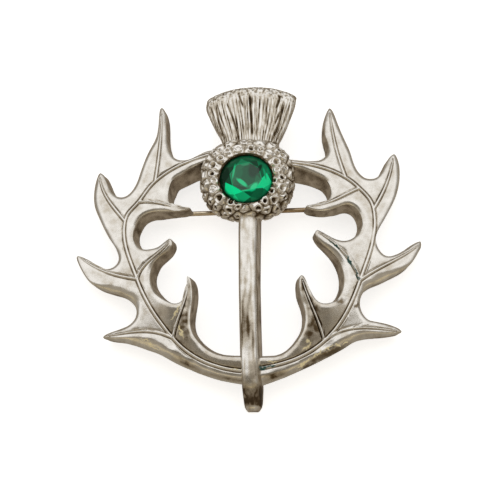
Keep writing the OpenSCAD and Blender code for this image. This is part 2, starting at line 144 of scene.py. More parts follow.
def newMaterial(name):
    material = bpy.data.materials.new(name)
    material.use_nodes = True
    tree = material.node_tree
    return material, tree, tree.nodes["Principled BSDF"]


def node(tree, kind, inputs=(), **settings):
    made = tree.nodes.new("ShaderNode" + kind)
    for key, value in settings.items():
        setattr(made, key, value)
    for key, value in dict(inputs).items():
        if isinstance(value, bpy.types.NodeSocket):
            tree.links.new(value, made.inputs[key])
        else:
            made.inputs[key].default_value = value
    return made


def ramp(tree, factor, stops):
    made = node(tree, "ValToRGB", {"Fac": factor})
    elements = made.color_ramp.elements
    while len(elements) < len(stops):
        elements.new(0.5)
    for element, (place, colour) in zip(elements, stops):
        element.position = place
        element.color = (*colour, 1)
    return made.outputs["Color"]


def mathNode(tree, operation, *values, clamp=False):
    return node(tree, "Math", dict(enumerate(values)), operation=operation, use_clamp=clamp).outputs[0]


def mapped(tree, value, low, high, start=0, end=1, smooth=False):
    ends = {"Value": value, "From Min": low, "From Max": high, "To Min": start, "To Max": end}
    return node(tree, "MapRange", ends, interpolation_type="SMOOTHSTEP" if smooth else "LINEAR").outputs[0]


def blend(tree, factor, a, b, kind="FLOAT"):
    return node(tree, "Mix", {"Factor": factor, "A": a, "B": b}, data_type=kind).outputs["Result"]


def cloudy(tree, place, scale, detail, roughness=0.5, output="Fac"):
    return node(tree, "TexNoise", {"Vector": place, "Scale": scale, "Detail": detail,
                                   "Roughness": roughness}).outputs[output]


def inMillimetres(tree):
    place = node(tree, "TexCoord").outputs["Object"]
    return place, node(tree, "VectorMath", {0: place, "Scale": 1 / mm}, operation="SCALE").outputs[0]


def oval(tree, place, x, y, long, wide, turn, start, end):  # 0 outside it, 1 inside it
    local = node(tree, "Mapping", {"Vector": place, "Location": (x * mm, y * mm, 0),
                                   "Rotation": (0, 0, radians(turn)), "Scale": (long * mm, wide * mm, 1)},
                 vector_type="TEXTURE").outputs[0]
    flat = node(tree, "VectorMath", {0: local, 1: (1, 1, 0)}, operation="MULTIPLY").outputs[0]
    reach = node(tree, "VectorMath", {0: flat}, operation="LENGTH").outputs["Value"]
    return mapped(tree, reach, start, end, smooth=True)


metalLook = {
    "worn": (0.95, 0.925, 0.885),  # where it is rubbed or carries a painted highlight, with the patina and shade below 0
    "silver": (0.80, 0.77, 0.72),
    "greyed": (0.62, 0.56, 0.465),
    "patinaAndShade": (0.135, 0.094, 0.05),
    "deep": (0.04, 0.026, 0.014),
    "cleanest": -0.25,     # the least patina and shade, where the metal is worn bright or painted with a highlight
    "polish": 0.17, "dull": 0.48, "dullBlotch": 0.12,
    "wearSize": 0.6,       # blotches for each millimetre
    "mottling": 0.9,       # how much of them shows on the clean faces
    "cleanBlotch": 1.5, "darkBlotch": 0.6,
    "fineSize": 7, "grit": 0.5,
    "scratchSize": 5.5, "scratchStretch": (0.7, 2.6, 1.0),
    "reliefStrength": 0.14, "reliefDepth": 0.06, "fineRelief": 0.6,
    # dark patches; on the low band of the right leaf they are painted shade round the painted glints
    "darkPatch": (0.2, 0.155, 0.1),
    # painted glints: golden reflections painted as colour on the lower bands of the leaves
    "paintedGlint": (0.95, 0.84, 0.53),
    "verdigris": (0.035, 0.115, 0.105),
    "glintMatte": 0.85,      # how little the painted glints mirror, so that they stay bright
    "faceTo": 1.3,         # how far below the dome the marks reach
    "markWarp": 0.5,      # how far the outlines of the marks wander, in millimetres
    "warpSize": 1.7,
}
# Marks: painted glints, dark patches that are mostly painted shade, and real verdigris; kind, x and y, half
# length, half width and turn
metalMarks = [
    # dark patches: painted shade round the painted glints on the right low band, and darker spots higher on
    # the right leaf
    ("darkPatch", 11.2, -15.5, 2.6, 0.5, 23), ("darkPatch", 8.3, -17.2, 1.5, 0.26, 30),
    ("darkPatch", 15, -8.8, 0.5, 0.25, 70), ("darkPatch", 12.9, -8.4, 0.6, 0.4, 40),
    # painted glints: golden reflections on the lower bands of the leaves
    ("paintedGlint", 7.5, -17, 1.4, 0.15, 37), ("paintedGlint", 9.4, -15.8, 1.0, 0.15, 38),
    ("paintedGlint", 11, -14.9, 1.0, 0.13, 24), ("paintedGlint", 12.3, -14.5, 0.6, 0.17, -15),
    ("paintedGlint", 13.4, -14.1, 0.4, 0.14, 37), ("paintedGlint", 8.1, -14, 0.5, 0.25, -72),
    ("paintedGlint", 7.9, -14.9, 1.0, 0.16, 40), ("paintedGlint", 3.1, -16.8, 0.9, 0.13, 5),
    ("paintedGlint", -13.5, -14.3, 1.1, 0.14, -32), ("paintedGlint", -14.9, -13.2, 0.8, 0.1, -11),
    ("paintedGlint", -2.3, -17.8, 0.8, 0.1, -8), ("paintedGlint", -9.6, -12.5, 1.0, 0.22, -70),
    ("paintedGlint", -10.4, -9.8, 1.4, 0.13, 60),
    ("verdigris", 14.15, -2.5, 1.1, 0.24, -65), ("verdigris", 15.1, -4.2, 1.1, 0.13, -70),
    ("verdigris", 12.1, -0.1, 1.3, 0.13, -40), ("verdigris", 2.6, -17.5, 1.4, 0.16, 12),
    ("verdigris", 1.75, -17.75, 0.5, 0.35, 0),
]
# Where a mark of each kind starts and is full, as parts of its half sizes
markEdges = {"darkPatch": (1.5, 0.3), "paintedGlint": (1.2, 0.5), "verdigris": (1.2, 0.5)}


def onFace(tree, scaled):  # 1 on the face and 0 on the hollow back, from the depth below the dome
    spot = node(tree, "VectorMath", {0: scaled, 1: (1, 1, 0), 2: (*dome["middle"], 0)},
                operation="MULTIPLY_ADD").outputs[0]
    square = node(tree, "VectorMath", {0: spot, 1: spot}, operation="DOT_PRODUCT").outputs["Value"]
    height = node(tree, "SeparateXYZ", {"Vector": scaled}).outputs["Z"]
    height = mathNode(tree, "MULTIPLY_ADD", square, 1 / (2 * dome["radius"]), height)
    bottom = dome["top"] - metalLook["faceTo"]
    return mapped(tree, height, bottom, bottom + 0.3)


def markShare(tree, kind, place):
    share = 0.0
    for stain, x, y, long, wide, turn in metalMarks:
        if stain == kind:
            inside = oval(tree, place, x - dome["middle"][0], y - dome["middle"][1], long, wide, turn,
                          *markEdges[kind])
            share = mathNode(tree, "MAXIMUM", share, inside)
    return share


def castMetal():
    look = metalLook
    material, tree, shader = newMaterial("castMetal")
    links = tree.links
    place, scaled = inMillimetres(tree)
    # one attribute holds real patina together with painted shade and painted highlights
    patinaAndShade = node(tree, "Attribute", attribute_name="patinaAndShade").outputs["Fac"]
    fine = cloudy(tree, scaled, look["fineSize"], 4, 0.7)
    grit = mathNode(tree, "SUBTRACT", fine, 0.5)
    mottle = mathNode(tree, "SUBTRACT", cloudy(tree, scaled, look["wearSize"], 5, 0.6), 0.5)
    share = mapped(tree, patinaAndShade, 0, 0.35, look["cleanBlotch"], look["darkBlotch"])
    spread = mathNode(tree, "MULTIPLY_ADD", mottle, share, patinaAndShade)
    spread = mathNode(tree, "MULTIPLY_ADD", grit, look["grit"], spread)
    shown = mathNode(tree, "MULTIPLY_ADD", patinaAndShade, 4, look["mottling"], clamp=True)
    age = blend(tree, shown, patinaAndShade, spread)
    shade = mapped(tree, age, look["cleanest"], 1)
    colour = ramp(tree, shade, [(0, look["worn"]), (0.2, look["silver"]), (0.44, look["greyed"]),
                                (0.7, look["patinaAndShade"]), (1, look["deep"])])
    warp = cloudy(tree, scaled, look["warpSize"], 2, output="Color")
    warp = node(tree, "VectorMath", {0: warp, 1: (0.5, 0.5, 0.5)}, operation="SUBTRACT").outputs[0]
    moved = node(tree, "VectorMath", {0: warp, 1: [2 * look["markWarp"] * mm] * 3, 2: place},
                 operation="MULTIPLY_ADD").outputs[0]
    face = onFace(tree, scaled)
    shares = {kind: mathNode(tree, "MULTIPLY", markShare(tree, kind, moved), face) for kind in markEdges}
    for kind in shares:
        colour = blend(tree, shares[kind], colour, (*look[kind], 1), "RGBA")
    links.new(colour, shader.inputs["Base Color"])
    plain = mathNode(tree, "MULTIPLY_ADD", shares["paintedGlint"], look["glintMatte"], shares["verdigris"])
    links.new(mathNode(tree, "SUBTRACT", 1, plain, clamp=True), shader.inputs["Metallic"])
    rough = mapped(tree, age, 0, 0.7, look["polish"], look["dull"])
    links.new(mathNode(tree, "MULTIPLY_ADD", mottle, look["dullBlotch"], rough), shader.inputs["Roughness"])
    stretched = node(tree, "VectorMath", {0: scaled, 1: look["scratchStretch"]},
                     operation="MULTIPLY").outputs[0]
    scratch = cloudy(tree, stretched, look["scratchSize"], 3, 0.55)
    surface = mathNode(tree, "MULTIPLY_ADD", fine, look["fineRelief"], scratch)
    relief = node(tree, "Bump", {"Strength": look["reliefStrength"], "Distance": look["reliefDepth"] * mm,
                                 "Height": surface})
    links.new(relief.outputs[0], shader.inputs["Normal"])
    return material


castMetalMaterial = castMetal()

# Leaves
# A row of an edge is what the edge passes there, x, y and heading. A row that starts a stretch of
# edge has a name, and the route says which stretches of vein that edge faces.

leafEdges = {
    "left": [
        ("arm", -3.8, 15.5, 185), ("", -6.6, 15.2, 205), ("", -10.4, 14.1, 165),
        ("up A", -11.8, 15.5, 115), ("", -12.6, 18.8, 95),
        ("tip A", -13.6, 24.2, 170), ("", -13.9, 21.6, 270), ("", -14.6, 17.3, 245), ("", -16.1, 12.9, 255),
        ("bay AB", -17.3, 9.6, 235), ("", -19, 8.7, 170),
        ("up B", -20.4, 9.6, 130),
        ("tip B", -22.5, 13.4, 170), ("", -23.2, 11.2, 265), ("", -22.5, 6.4, 295), ("", -20.5, 2.3, 300),
        ("bay BC", -19.2, 0.1, 290), ("", -19, -1.5, 250),
        ("up C", -20.6, -2.4, 175),
        ("tip C", -25.3, 0.1, 190), ("", -24.4, -2.4, 300), ("", -22.4, -4.8, 325),
        ("bay CD", -17.5, -7.1, 325), ("", -16.1, -9.2, 270),
        ("up D", -17.4, -11, 205),
        ("tip D", -21, -12.3, 270), ("", -18.2, -13.2, 345), ("", -13.8, -14.8, 340),
        ("low rim", -9.8, -16.9, 335), ("", -5.5, -18.7, 340),
        ("stem end", 0, -19.9, 350),
        ("high rim", 0.1, -16.1, 180), ("", -3, -16, 175),
        ("up E", -6.9, -14.2, 135), ("", -8.3, -11.7, 100), ("", -8.1, -8, 85),
        ("tip E", -8.7, -4.6, 170), ("", -8.8, -6.3, 260),
        ("bay EF", -9.6, -8, 230),
        ("up F", -12.8, -7.2, 135), ("", -14.2, -4.8, 100), ("", -13.8, -2.4, 65), ("", -11.1, 0.4, 75),
        ("tip F", -11.4, 1.3, 165), ("", -13.1, 0.2, 205),
        ("bay FG", -14.7, -0.1, 180), ("", -16.9, 2.1, 95),
        ("up G", -16.2, 4.6, 60), ("", -11.2, 5.5, 350),
        ("tip G", -8.6, 5.8, 50),
        ("bay GA", -10.6, 6.2, 175),
        ("under arm", -11.5, 10.3, 70), ("", -9.5, 12, 35),
        ("head end", -3.7, 14.6, 20),
    ],
    "right": [
        ("arm", 3.7, 13.9, 0), ("", 6.2, 13.5, 355), ("", 9.7, 13.4, 5),
        ("up A", 11.6, 15.3, 80), ("", 11.1, 18.5, 95), ("", 11.3, 21.6, 80),
        ("tip A", 11.9, 23.2, 5), ("", 13, 20.5, 285), ("", 14.5, 16, 290),
        ("bay AB", 16.5, 11.1, 320), ("", 17.7, 10.8, 5),
        ("up B", 19.5, 12.4, 65),
        ("tip B", 21.3, 15.5, 5), ("", 22, 13, 270), ("", 21.5, 9.1, 255),
        ("bay BC", 18.4, 2.5, 245), ("", 18.1, 0.5, 285),
        ("up C", 19.8, -1.3, 5),
        ("tip C", 24.5, 1.4, 5), ("", 24.5, 0.3, 240), ("", 22.6, -2.6, 225), ("", 19.4, -4.7, 210),
        ("bay CD", 16.4, -6.4, 225), ("", 15.5, -8.5, 270),
        ("up D", 17.3, -10.9, 355),
        ("tip D", 21.3, -12.1, 270), ("", 19.3, -12.8, 190), ("", 15.7, -13.4, 195),
        ("low rim", 12.6, -15.1, 210), ("", 8.3, -17.3, 205), ("", 4.2, -19.1, 200),
        ("stem end", 0, -20.5, 200),
        ("high rim", 0.1, -16.3, 5), ("", 3.4, -16.1, 5),
        ("up E", 7, -13.5, 55), ("", 7.4, -8.3, 110),
        ("tip E", 7.4, -4.7, 0),
        ("bay EF", 9.6, -8.4, 320),
        ("up F", 12.7, -7.6, 60), ("", 12.6, -2.2, 120), ("", 9.4, 1.5, 110),
        ("tip F", 9.7, 2.1, 0),
        ("bay FG", 13.2, 0.6, 355), ("", 16.2, 3.6, 90),
        ("up G", 14.5, 6.3, 165), ("", 12.4, 5.7, 200), ("", 10.4, 5.1, 185),
        ("tip G", 8.2, 5.7, 115),
        ("bay GA", 10.7, 6.5, 20), ("", 11.8, 8.2, 90),
        ("under arm", 10.5, 10.7, 150), ("", 8.1, 11.9, 160),
        ("head end", 3.7, 12.8, 170),
    ],
}
# Name of a stretch of vein, steps along it, x, y and heading at its root and at its far end
leafVeins = {
    "left": {
        "arm": (8, -3.8, 15.2, 193, -13.9, 10.7, 222),
        "A to G": (2, -13.9, 10.7, 222, -16.3, 7.5, 232),
        "G to B": (2, -16.3, 7.5, 232, -18.2, 4.7, 262),
        "B to C": (6, -18.2, 4.7, 262, -16.1, -4.4, 290),
        "C to D": (6, -16.1, -4.4, 290, -10.8, -13.2, 310),
        "D to stem": (8, -10.8, -13.2, 310, 0, -18.1, 357),
        "A": (9, -13.9, 10.7, 84, -13.5, 22.9, 92), "B": (7, -18.2, 4.7, 127, -22.5, 12.5, 100),
        "C": (7, -16.1, -4.4, 168, -24.6, -0.4, 140), "D": (7, -10.8, -13.2, 150, -20, -12.2, 184),
        "E": (6, -10.8, -13.2, 80, -8.6, -5.5, 85), "F": (5, -16.1, -4.4, 78, -11.5, 0.7, 52),
        "G": (5, -16.3, 7.5, 5, -9.2, 5.8, 350),
    },
    "right": {
        "arm": (8, 3.7, 13.3, 355, 14, 10.7, 328),
        "A to G": (2, 14, 10.7, 328, 15.9, 9.1, 313),
        "G to B": (2, 15.9, 9.1, 313, 17.9, 5.9, 278),
        "B to C": (6, 17.9, 5.9, 278, 15.6, -5.2, 250),
        "C to D": (6, 15.6, -5.2, 250, 10.4, -13.9, 222),
        "D to stem": (8, 10.4, -13.9, 222, 0, -17.9, 187),
        "A": (9, 14, 10.7, 108, 11.9, 22.2, 95), "B": (7, 17.9, 5.9, 60, 21.1, 14.5, 80),
        "C": (7, 15.6, -5.2, 40, 24.1, 0.6, 42), "D": (7, 10.4, -13.9, 42, 20.5, -12.1, 355),
        "E": (6, 10.4, -13.9, 103, 7.5, -5.5, 105), "F": (5, 15.6, -5.2, 108, 10, 1.6, 150),
        "G": (5, 15.9, 9.1, 208, 8.9, 5.8, 186),
    },
}
# For each stretch of edge the veins it faces: 1 outward, -1 back, 0 and 2 for the two plain ends
leafRoute = [
    [("arm", 1)], [("A", 1)], [("A", -1)], [("A to G", 1), ("G to B", 1)], [("B", 1)], [("B", -1)],
    [("B to C", 1)], [("C", 1)], [("C", -1)], [("C to D", 1)], [("D", 1)], [("D", -1)],
    [("D to stem", 1)], [("D to stem", 0)], [("D to stem", -1)],
    [("E", 1)], [("E", -1)], [("C to D", -1)], [("F", 1)], [("F", -1)],
    [("B to C", -1), ("G to B", -1)], [("G", 1)], [("G", -1)], [("A to G", -1)],
    [("arm", -1)], [("arm", 2)],
]
# How strongly the face rises from a vein, where that differs: 1 on the side that is met first going
# round the leaf, -1 on the other
leafGutters = {("D", 1): -0.6, ("C to D", 1): -0.3, ("C to D", -1): 2.2, ("E", -1): 1.8, ("E", 1): 1.3,
               ("D to stem", 1): 0.2, ("D to stem", -1): 0.6, ("C", 1): 0.6}
# The same for the painted shade, mottled like patina, that lies on the face there
leafBandShades = {("D", -1): 0.02, ("C to D", -1): 0.22, ("E", -1): 0.62, ("E", 1): 0.58,
              ("D to stem", 1): 0.6, ("D to stem", -1): 0.26}
leafShape = {
    "finer": 8,            # stations for each step along a vein
    "endSteps": 3,
    "turnIn": 1.1,         # from its ends a vein's own rows turn square to it over this length
    "knotReach": 0.36, "tipReach": 0.16,
    "depth": 3.6, "tipDepth": 2, "thinFrom": 10, "thinRate": 0.16, "armDepth": 1.2,
    "innerThin": 1.5,      # how much thinner the walls of the inner lobes are
    "draft": 0.09,
    "edgeRound": 0.64,     # width of the rounding along the edge
    "lowRound": 0.75,      # what is added where the edge faces the end of the stem
    "roundDepth": 0.5,     # its depth as a part of its width
    "gutter": 0.075,       # how steeply the face rises from a vein
    "gutterReach": 2.6,
    "veinRise": 0.12, "veinHalf": 0.27, "veinTip": 0.12,
    "veinFade": 0.6,       # a band narrower than twice this has a weaker vein
    "blendVeins": 2.2,     # less of it, and the gutters of two veins melt together sooner
    "grooveDepth": 0.11, "grooveWidth": 0.3, "grooveStain": 0.62,
    "wave": 0.055, "waveSize": 0.33,
    "lowWave": 0.06, "lowWaveSize": 0.75,  # more of it on the low bands beside the stem's end
    "lowRoll": 0.14, "rollAt": 0.95, "rollWidth": 0.55,  # a low roll there along both sides of the vein
    # veinWorn is wear on the raised veins; the edge highlight is a painted highlight just inside the
    # rounded edge
    "veinWorn": 0.2, "edgeHighlight": 0.14, "edgeHighlightAt": 0.66, "edgeHighlightWidth": 0.22,
    "bandShade": 1.1, "bandShadeSize": 0.45,
    # strength and mottle size of the painted shade on the bands
    "wallPatinaAndShade": 0.42, "wallRipple": 0.035,
    "backRim": 0.7, "shell": 1.7, "backStain": 0.45,
}


def knotCurve(a, b, t):  # a and b are x, y, heading, reach
    start, end = np.array(a[:2]), np.array(b[:2])
    chord = np.hypot(*(end - start))
    pullA = start + chord * a[3] * np.array([cos(radians(a[2])), sin(radians(a[2]))])
    pullB = end - chord * b[3] * np.array([cos(radians(b[2])), sin(radians(b[2]))])
    s = 1 - t
    return s ** 3 * start + 3 * s * s * t * pullA + 3 * s * t * t * pullB + t ** 3 * end


def edgePoints(knots, count):  # evenly by the chords, without the last knot
    chords = [np.hypot(b[0] - a[0], b[1] - a[1]) for a, b in zip(knots, knots[1:])]
    upto = np.concatenate([[0], np.cumsum(chords)])
    points = []
    for s in upto[-1] * np.arange(count) / count:
        i = min(int(np.searchsorted(upto, s, side="right")) - 1, len(chords) - 1)
        points.append(knotCurve(knots[i], knots[i + 1], (s - upto[i]) / chords[i]))
    return points


def veinPoints(vein):
    steps = vein[0] * leafShape["finer"]
    root, far = (*vein[1:4], leafShape["knotReach"]), (*vein[4:7], leafShape["knotReach"])
    return np.array([knotCurve(root, far, j / steps) for j in range(steps + 1)])


def facedPoints(veins, leg):  # rows of x, y, the vein's own direction there, and how far it counts
    points = veinPoints(veins[leg[0]])
    along = np.gradient(points, axis=0)
    along /= np.hypot(*along.T)[:, None]
    fromEnds = np.minimum(np.hypot(*(points - points[0]).T), np.hypot(*(points - points[-1]).T))
    rows = np.concatenate([points, along, ease(0.05, leafShape["turnIn"], fromEnds)[:, None]], axis=1)
    ends = leafShape["endSteps"] * leafShape["finer"]
    if leg[1] == 0:
        return [rows[-1]] * ends
    if leg[1] == 2:
        return [rows[0]] * ends
    return list(rows[:-1]) if leg[1] == 1 else list(rows[:0:-1])


def leafStations(side):
    # edge points, the vein points that they face, the way from the vein, and the marks of that side
    edge, veins = leafEdges[side], leafVeins[side]
    starts = [i for i, row in enumerate(edge) if row[0]]
    outer, inner, marks = [], [], []
    for k, legs in enumerate(leafRoute):
        last = starts[k + 1] if k + 1 < len(starts) else len(edge)
        rows = [edge[i % len(edge)] for i in range(starts[k], last + 1)]
        reaches = [leafShape["tipReach" if row[0].startswith("tip") else "knotReach"] for row in rows]
        count = 0
        for leg in legs:
            faced = facedPoints(veins, leg)
            inner += faced
            marks += [(leafGutters.get(leg, 1), leafBandShades.get(leg, 0))] * len(faced)
            count += len(faced)
        outer += edgePoints([(*row[1:], reach) for row, reach in zip(rows, reaches)], count)
    outer, inner = np.array(outer), np.array(inner)
    back = outer - inner[:, :2]
    back /= np.maximum(np.hypot(*back.T), 1e-6)[:, None]
    square = np.stack([-inner[:, 3], inner[:, 2]], 1)
    square *= np.sign((square * back).sum(1))[:, None]
    away = back * (1 - inner[:, 4:]) + square * inner[:, 4:]
    for _ in range(3):
        away = (np.roll(away, 1, axis=0) + 2 * away + np.roll(away, -1, axis=0)) / 4
    marks = np.array(marks, float)
    for _ in range(60):
        marks = (np.roll(marks, 1, axis=0) + 2 * marks + np.roll(marks, -1, axis=0)) / 4
    return outer, inner[:, :2], away / np.maximum(np.hypot(*away.T), 1e-6)[:, None], marks


def segmentDistance(points, a, b, reach=None):
    # distance of each point to the nearest of the segments a to b, divided by each one's reach
    best = np.full(len(points), 1e9)
    span = b - a
    length = np.maximum((span ** 2).sum(1), 1e-12)
    for block in range(0, len(points), 2000):
        p = points[block:block + 2000, None, :]
        t = np.clip(((p - a) * span).sum(2) / length, 0, 1)
        gap = np.sqrt(((p - a - t[..., None] * span) ** 2).sum(2))
        best[block:block + 2000] = (gap if reach is None else gap / reach).min(1)
    return best


def wallDepth(x, y):
    thin = leafShape["depth"] - (np.hypot(x, y) - leafShape["thinFrom"]) * leafShape["thinRate"]
    arm = ease(16, 5, abs(x)) * ease(6.5, 10.5, y) * ease(20, 15, y)
    inner = ease(14, 9.5, abs(x)) * ease(-6, -1, y) * ease(10, 7, y)
    depth = np.minimum(thin, leafShape["depth"]) - leafShape["innerThin"] * inner
    depth = np.maximum(depth, leafShape["tipDepth"]) + leafShape["armDepth"] * arm
    return np.minimum(domeZ(x, y), depth)


def faceLanes(edge, faced, width, back, away):
    # rows of x and y across the face, close together beside the edge and the vein
    nearEdge = np.array([0, 0.02, 0.05, 0.1, 0.16, 0.24, 0.34, 0.46, 0.62, 0.85])
    nearVein = np.array([0.85, 0.66, 0.52, 0.43, 0.37, 0.32, 0.28, 0.24, 0.19, 0.13, 0.06, 0])
    squeeze = np.minimum(1, 0.46 * width / 0.85)
    fromEdge = nearEdge[None, :] * squeeze
    fromVein = width - nearVein[None, :] * squeeze
    between = fromEdge[:, -1:] + (fromVein[:, :1] - fromEdge[:, -1:]) * (np.arange(1, 6) / 6)[None, :]
    across = np.concatenate([fromEdge, between, fromVein], axis=1)
    face = edge[:, None, :] + (faced - edge)[:, None, :] * (across / np.maximum(width, 1e-6))[..., None]
    # the rows beside a vein leave it square, and only then turn to the edge
    reach = (nearVein[None, :] * squeeze)[..., None]
    lean = ease(0.9, 0.3, nearVein)[None, :, None] * ease(0.4, 1.2, width)[..., None]
    lane = back[:, None, :] * (1 - lean) + away[:, None, :] * lean
    face[:, -len(nearVein):] = faced[:, None, :] + reach * lane
    return face


def veinGaps(side, flat):  # to the nearest vein in its half widths, and softly to all in millimetres
    shape = leafShape
    near = np.zeros(len(flat))
    nearest = np.full(len(flat), 1e9)
    for name, vein in leafVeins[side].items():
        points = veinPoints(vein)
        t = np.linspace(0, 1, len(points) - 1)
        taper = t ** 1.5 if len(name) == 1 else 0 * t  # the vein of a lobe gets finer
        halves = shape["veinHalf"] - (shape["veinHalf"] - shape["veinTip"]) * taper
        off = segmentDistance(flat, points[:-1], points[1:], halves)
        nearest = np.minimum(nearest, off)
        near += np.exp(-shape["blendVeins"] * off * shape["veinHalf"])
    return nearest, np.maximum(-np.log(np.maximum(near, 1e-9)) / shape["blendVeins"], 0)


def leafWalls(edge, out, lip):  # from the edge of the face down to the back
    down = np.array([0.12, 0.3, 0.5, 0.7, 0.86, 0.95, 1.0])
    inset = np.array([0, 0, 0, 0, 0, 0.03, 0.12])
    depth = wallDepth(edge[:, 0], edge[:, 1])
    at = lip[:, None] + (depth - lip)[:, None] * down[None, :]
    wall = edge[:, None, :] + at[..., None] * (leafShape["draft"] * out - edge / dome["radius"])[:, None, :]
    wall = wall - inset[None, :, None] * out[:, None, :]
    wallZ = domeZ(edge[:, 0], edge[:, 1])[:, None] - at
    sides = np.concatenate([wall, wallZ[..., None]], -1)
    ripple = leafShape["wallRipple"] * grain(sides, 0.9, 2) + 0.015 * grain(sides, 3.1, 3)
    sides[..., :2] += (ripple * ease(0, 0.4, at - lip[:, None]))[..., None] * out[:, None, :]
    return sides


def leafHollow(edge, faced, out, back, width):  # from the rim of the back to the underside of the vein
    rim = edge - back * np.minimum(leafShape["backRim"], 0.4 * width)
    rimDepth = np.minimum(wallDepth(edge[:, 0], edge[:, 1]), domeZ(rim[:, 0], rim[:, 1]))
    rimZ = domeZ(rim[:, 0], rim[:, 1]) - rimDepth
    rim = rim + rimDepth[:, None] * (leafShape["draft"] * out - rim / dome["radius"])
    thick = np.minimum(wallDepth(faced[:, 0], faced[:, 1]) * 0.8, leafShape["shell"])
    underZ = domeZ(faced[:, 0], faced[:, 1]) - thick
    s = np.linspace(0, 1, 7)[None, :, None]
    backXY = rim[:, None, :] * (1 - s) + faced[:, None, :] * s
    rise = np.sin(s[..., 0] * pi / 2) ** 1.3
    backZ = rimZ[:, None] + (underZ - rimZ)[:, None] * rise
    under = np.concatenate([backXY, backZ[..., None]], -1)
    under[:, :-1, 2] += 0.05 * grain(under, 1.1, 4)[:, :-1]
    return under


def makeLeaf(side):
    shape = leafShape
    edge, faced, away, marks = leafStations(side)
    gutters, bandShades = marks[:, :1], marks[:, 1:]
    n = len(edge)
    gap = faced - edge
    width = np.hypot(*gap.T)[:, None]
    back = -gap / np.maximum(width, 1e-6)
    step = np.roll(edge, -1, axis=0) - np.roll(edge, 1, axis=0)
    out = np.stack([step[:, 1], -step[:, 0]], 1) / np.hypot(*step.T)[:, None]
    if side == "right":
        out = -out
    face = faceLanes(edge, faced, width, back, away)
    flat = face.reshape(-1, 2)
    edgeGap = segmentDistance(flat, edge, np.roll(edge, -1, axis=0)).reshape(n, -1)
    u, softVein = [gaps.reshape(n, -1) for gaps in veinGaps(side, flat)]
    half = edgeGap[:, -1:]
    # the edge is rounded further where it faces the end of the stem
    facing = ease(0.1, 0.8, -out[:, 1:2]) * ease(2, -6, edge[:, 1:2])
    facing = facing * (1 + 0.6 * grain(np.concatenate([edge, 0 * width], axis=1), 0.8, 15)[:, None])
    edgeRound = np.minimum(shape["edgeRound"] + shape["lowRound"] * facing, 0.85 * half + 0.05)
    for _ in range(6):
        edgeRound = (np.roll(edgeRound, 1) + edgeRound + np.roll(edgeRound, -1)) / 3
    t = np.clip(edgeGap / edgeRound, 0, 1)
    drop = shape["roundDepth"] * edgeRound * (1 - t) ** 2
    x, y = face[..., 0], face[..., 1]
    z = domeZ(x, y) - drop
    z += shape["gutter"] * gutters * np.minimum(softVein, shape["gutterReach"]) * np.minimum(1, half / 1.5)
    fade = np.clip(half / shape["veinFade"], 0, 1)
    z += fade * shape["veinRise"] * (0.5 + 0.5 * np.cos(pi * np.clip(u, 0, 1)))
    groove = bump(u - 1, shape["grooveWidth"])
    z -= fade * shape["grooveDepth"] * groove
    top = np.stack([x, y, z], -1)
    low = ease(-10, -14.5, y)
    lowOuter = low * ease(0, 0.6, -out[:, 1:2])
    ripple = shape["wave"] * grain(top, shape["waveSize"], 1)
    ripple += shape["lowWave"] * low * grain(top, shape["lowWaveSize"], 7)
    ripple += shape["lowRoll"] * lowOuter * bump(softVein - shape["rollAt"], shape["rollWidth"]) * fade
    top[..., 2] += ripple * ease(0, 0.4, edgeGap)
    # the vein's own row is shared by both sides
    keys = np.round(faced / 1e-4).astype(np.int64)
    index = np.unique(keys, axis=0, return_inverse=True)[1].ravel()
    shared = np.bincount(index, top[:, -1, 2]) / np.bincount(index)
    top[:, -1, 2] = shared[index]
    # painted shade on the bands of the table above, broken up by noise like patina
    stain = ease(-0.8, 0.2, grain(top, shape["bandShadeSize"], 8))
    stain = stain * ease(0.05, 0.5, edgeGap) * ease(0, 0.5, u)
    stain = stain * (0.72 + 0.5 * ease(-0.35, 0.35, grain(top, 1.3, 16)))
    stain = stain * (1 - lowOuter * ease(1.2, 0.8, softVein))
    # a painted highlight in a line just inside the rounded edge, and a faint darkening right at the outline
    paintedEdgeLine = shape["edgeHighlight"] * bump(edgeGap - shape["edgeHighlightAt"], shape["edgeHighlightWidth"])
    worn = shape["veinWorn"] * ease(0.75, 0.3, u) * fade + paintedEdgeLine
    patinaAndShade = shape["grooveStain"] * groove * fade - worn + 0.06 * bump(edgeGap, 0.2)
    patinaAndShade = patinaAndShade + shape["bandShade"] * bandShades * stain
    sides = leafWalls(edge, out, domeZ(edge[:, 0], edge[:, 1]) - top[:, 0, 2])
    under = leafHollow(edge, faced, out, back, width)
    points = np.concatenate([top[:, ::-1], sides, under], axis=1)
    points[..., 2] = np.maximum(points[..., 2], 0)
    # the walls are darker than the face: patina with painted shade
    wallDarkening = shape["wallPatinaAndShade"] + 0.16 * grain(sides, 1.2, 5)
    backPatina = shape["backStain"] + 0.12 * grain(under, 0.8, 6)
    values = np.concatenate([patinaAndShade[:, ::-1], wallDarkening, backPatina], axis=1)
    quads = gridQuads(n, points.shape[1], wrapRows=True)
    return makePiece("leaf" + side.capitalize(), points.reshape(-1, 3), quads, {"patinaAndShade": values},
                     castMetalMaterial, flip=side == "left")


for side in leafEdges:
    makeLeaf(side)

# Stem

stemShape = {
    "width": 3.1, "depth": 2.9,
    "middle": -0.25,       # the flat of the crown lies left of the middle
    "leftRound": 4.2, "rightRound": 2.3,
    "spread": 1.06,
    "steps": 300, "crownSteps": 56,
    "sideShade": 0.34, "streak": 0.3, "streakSize": 2.6,
    "darkReflection": 0.6, "darkReflectionAt": -11.5, "darkReflectionLength": 3.2,
    "endShade": 0.78,      # painted shade on the blunt end, with a clean toe
    "backStain": 0.45,
}
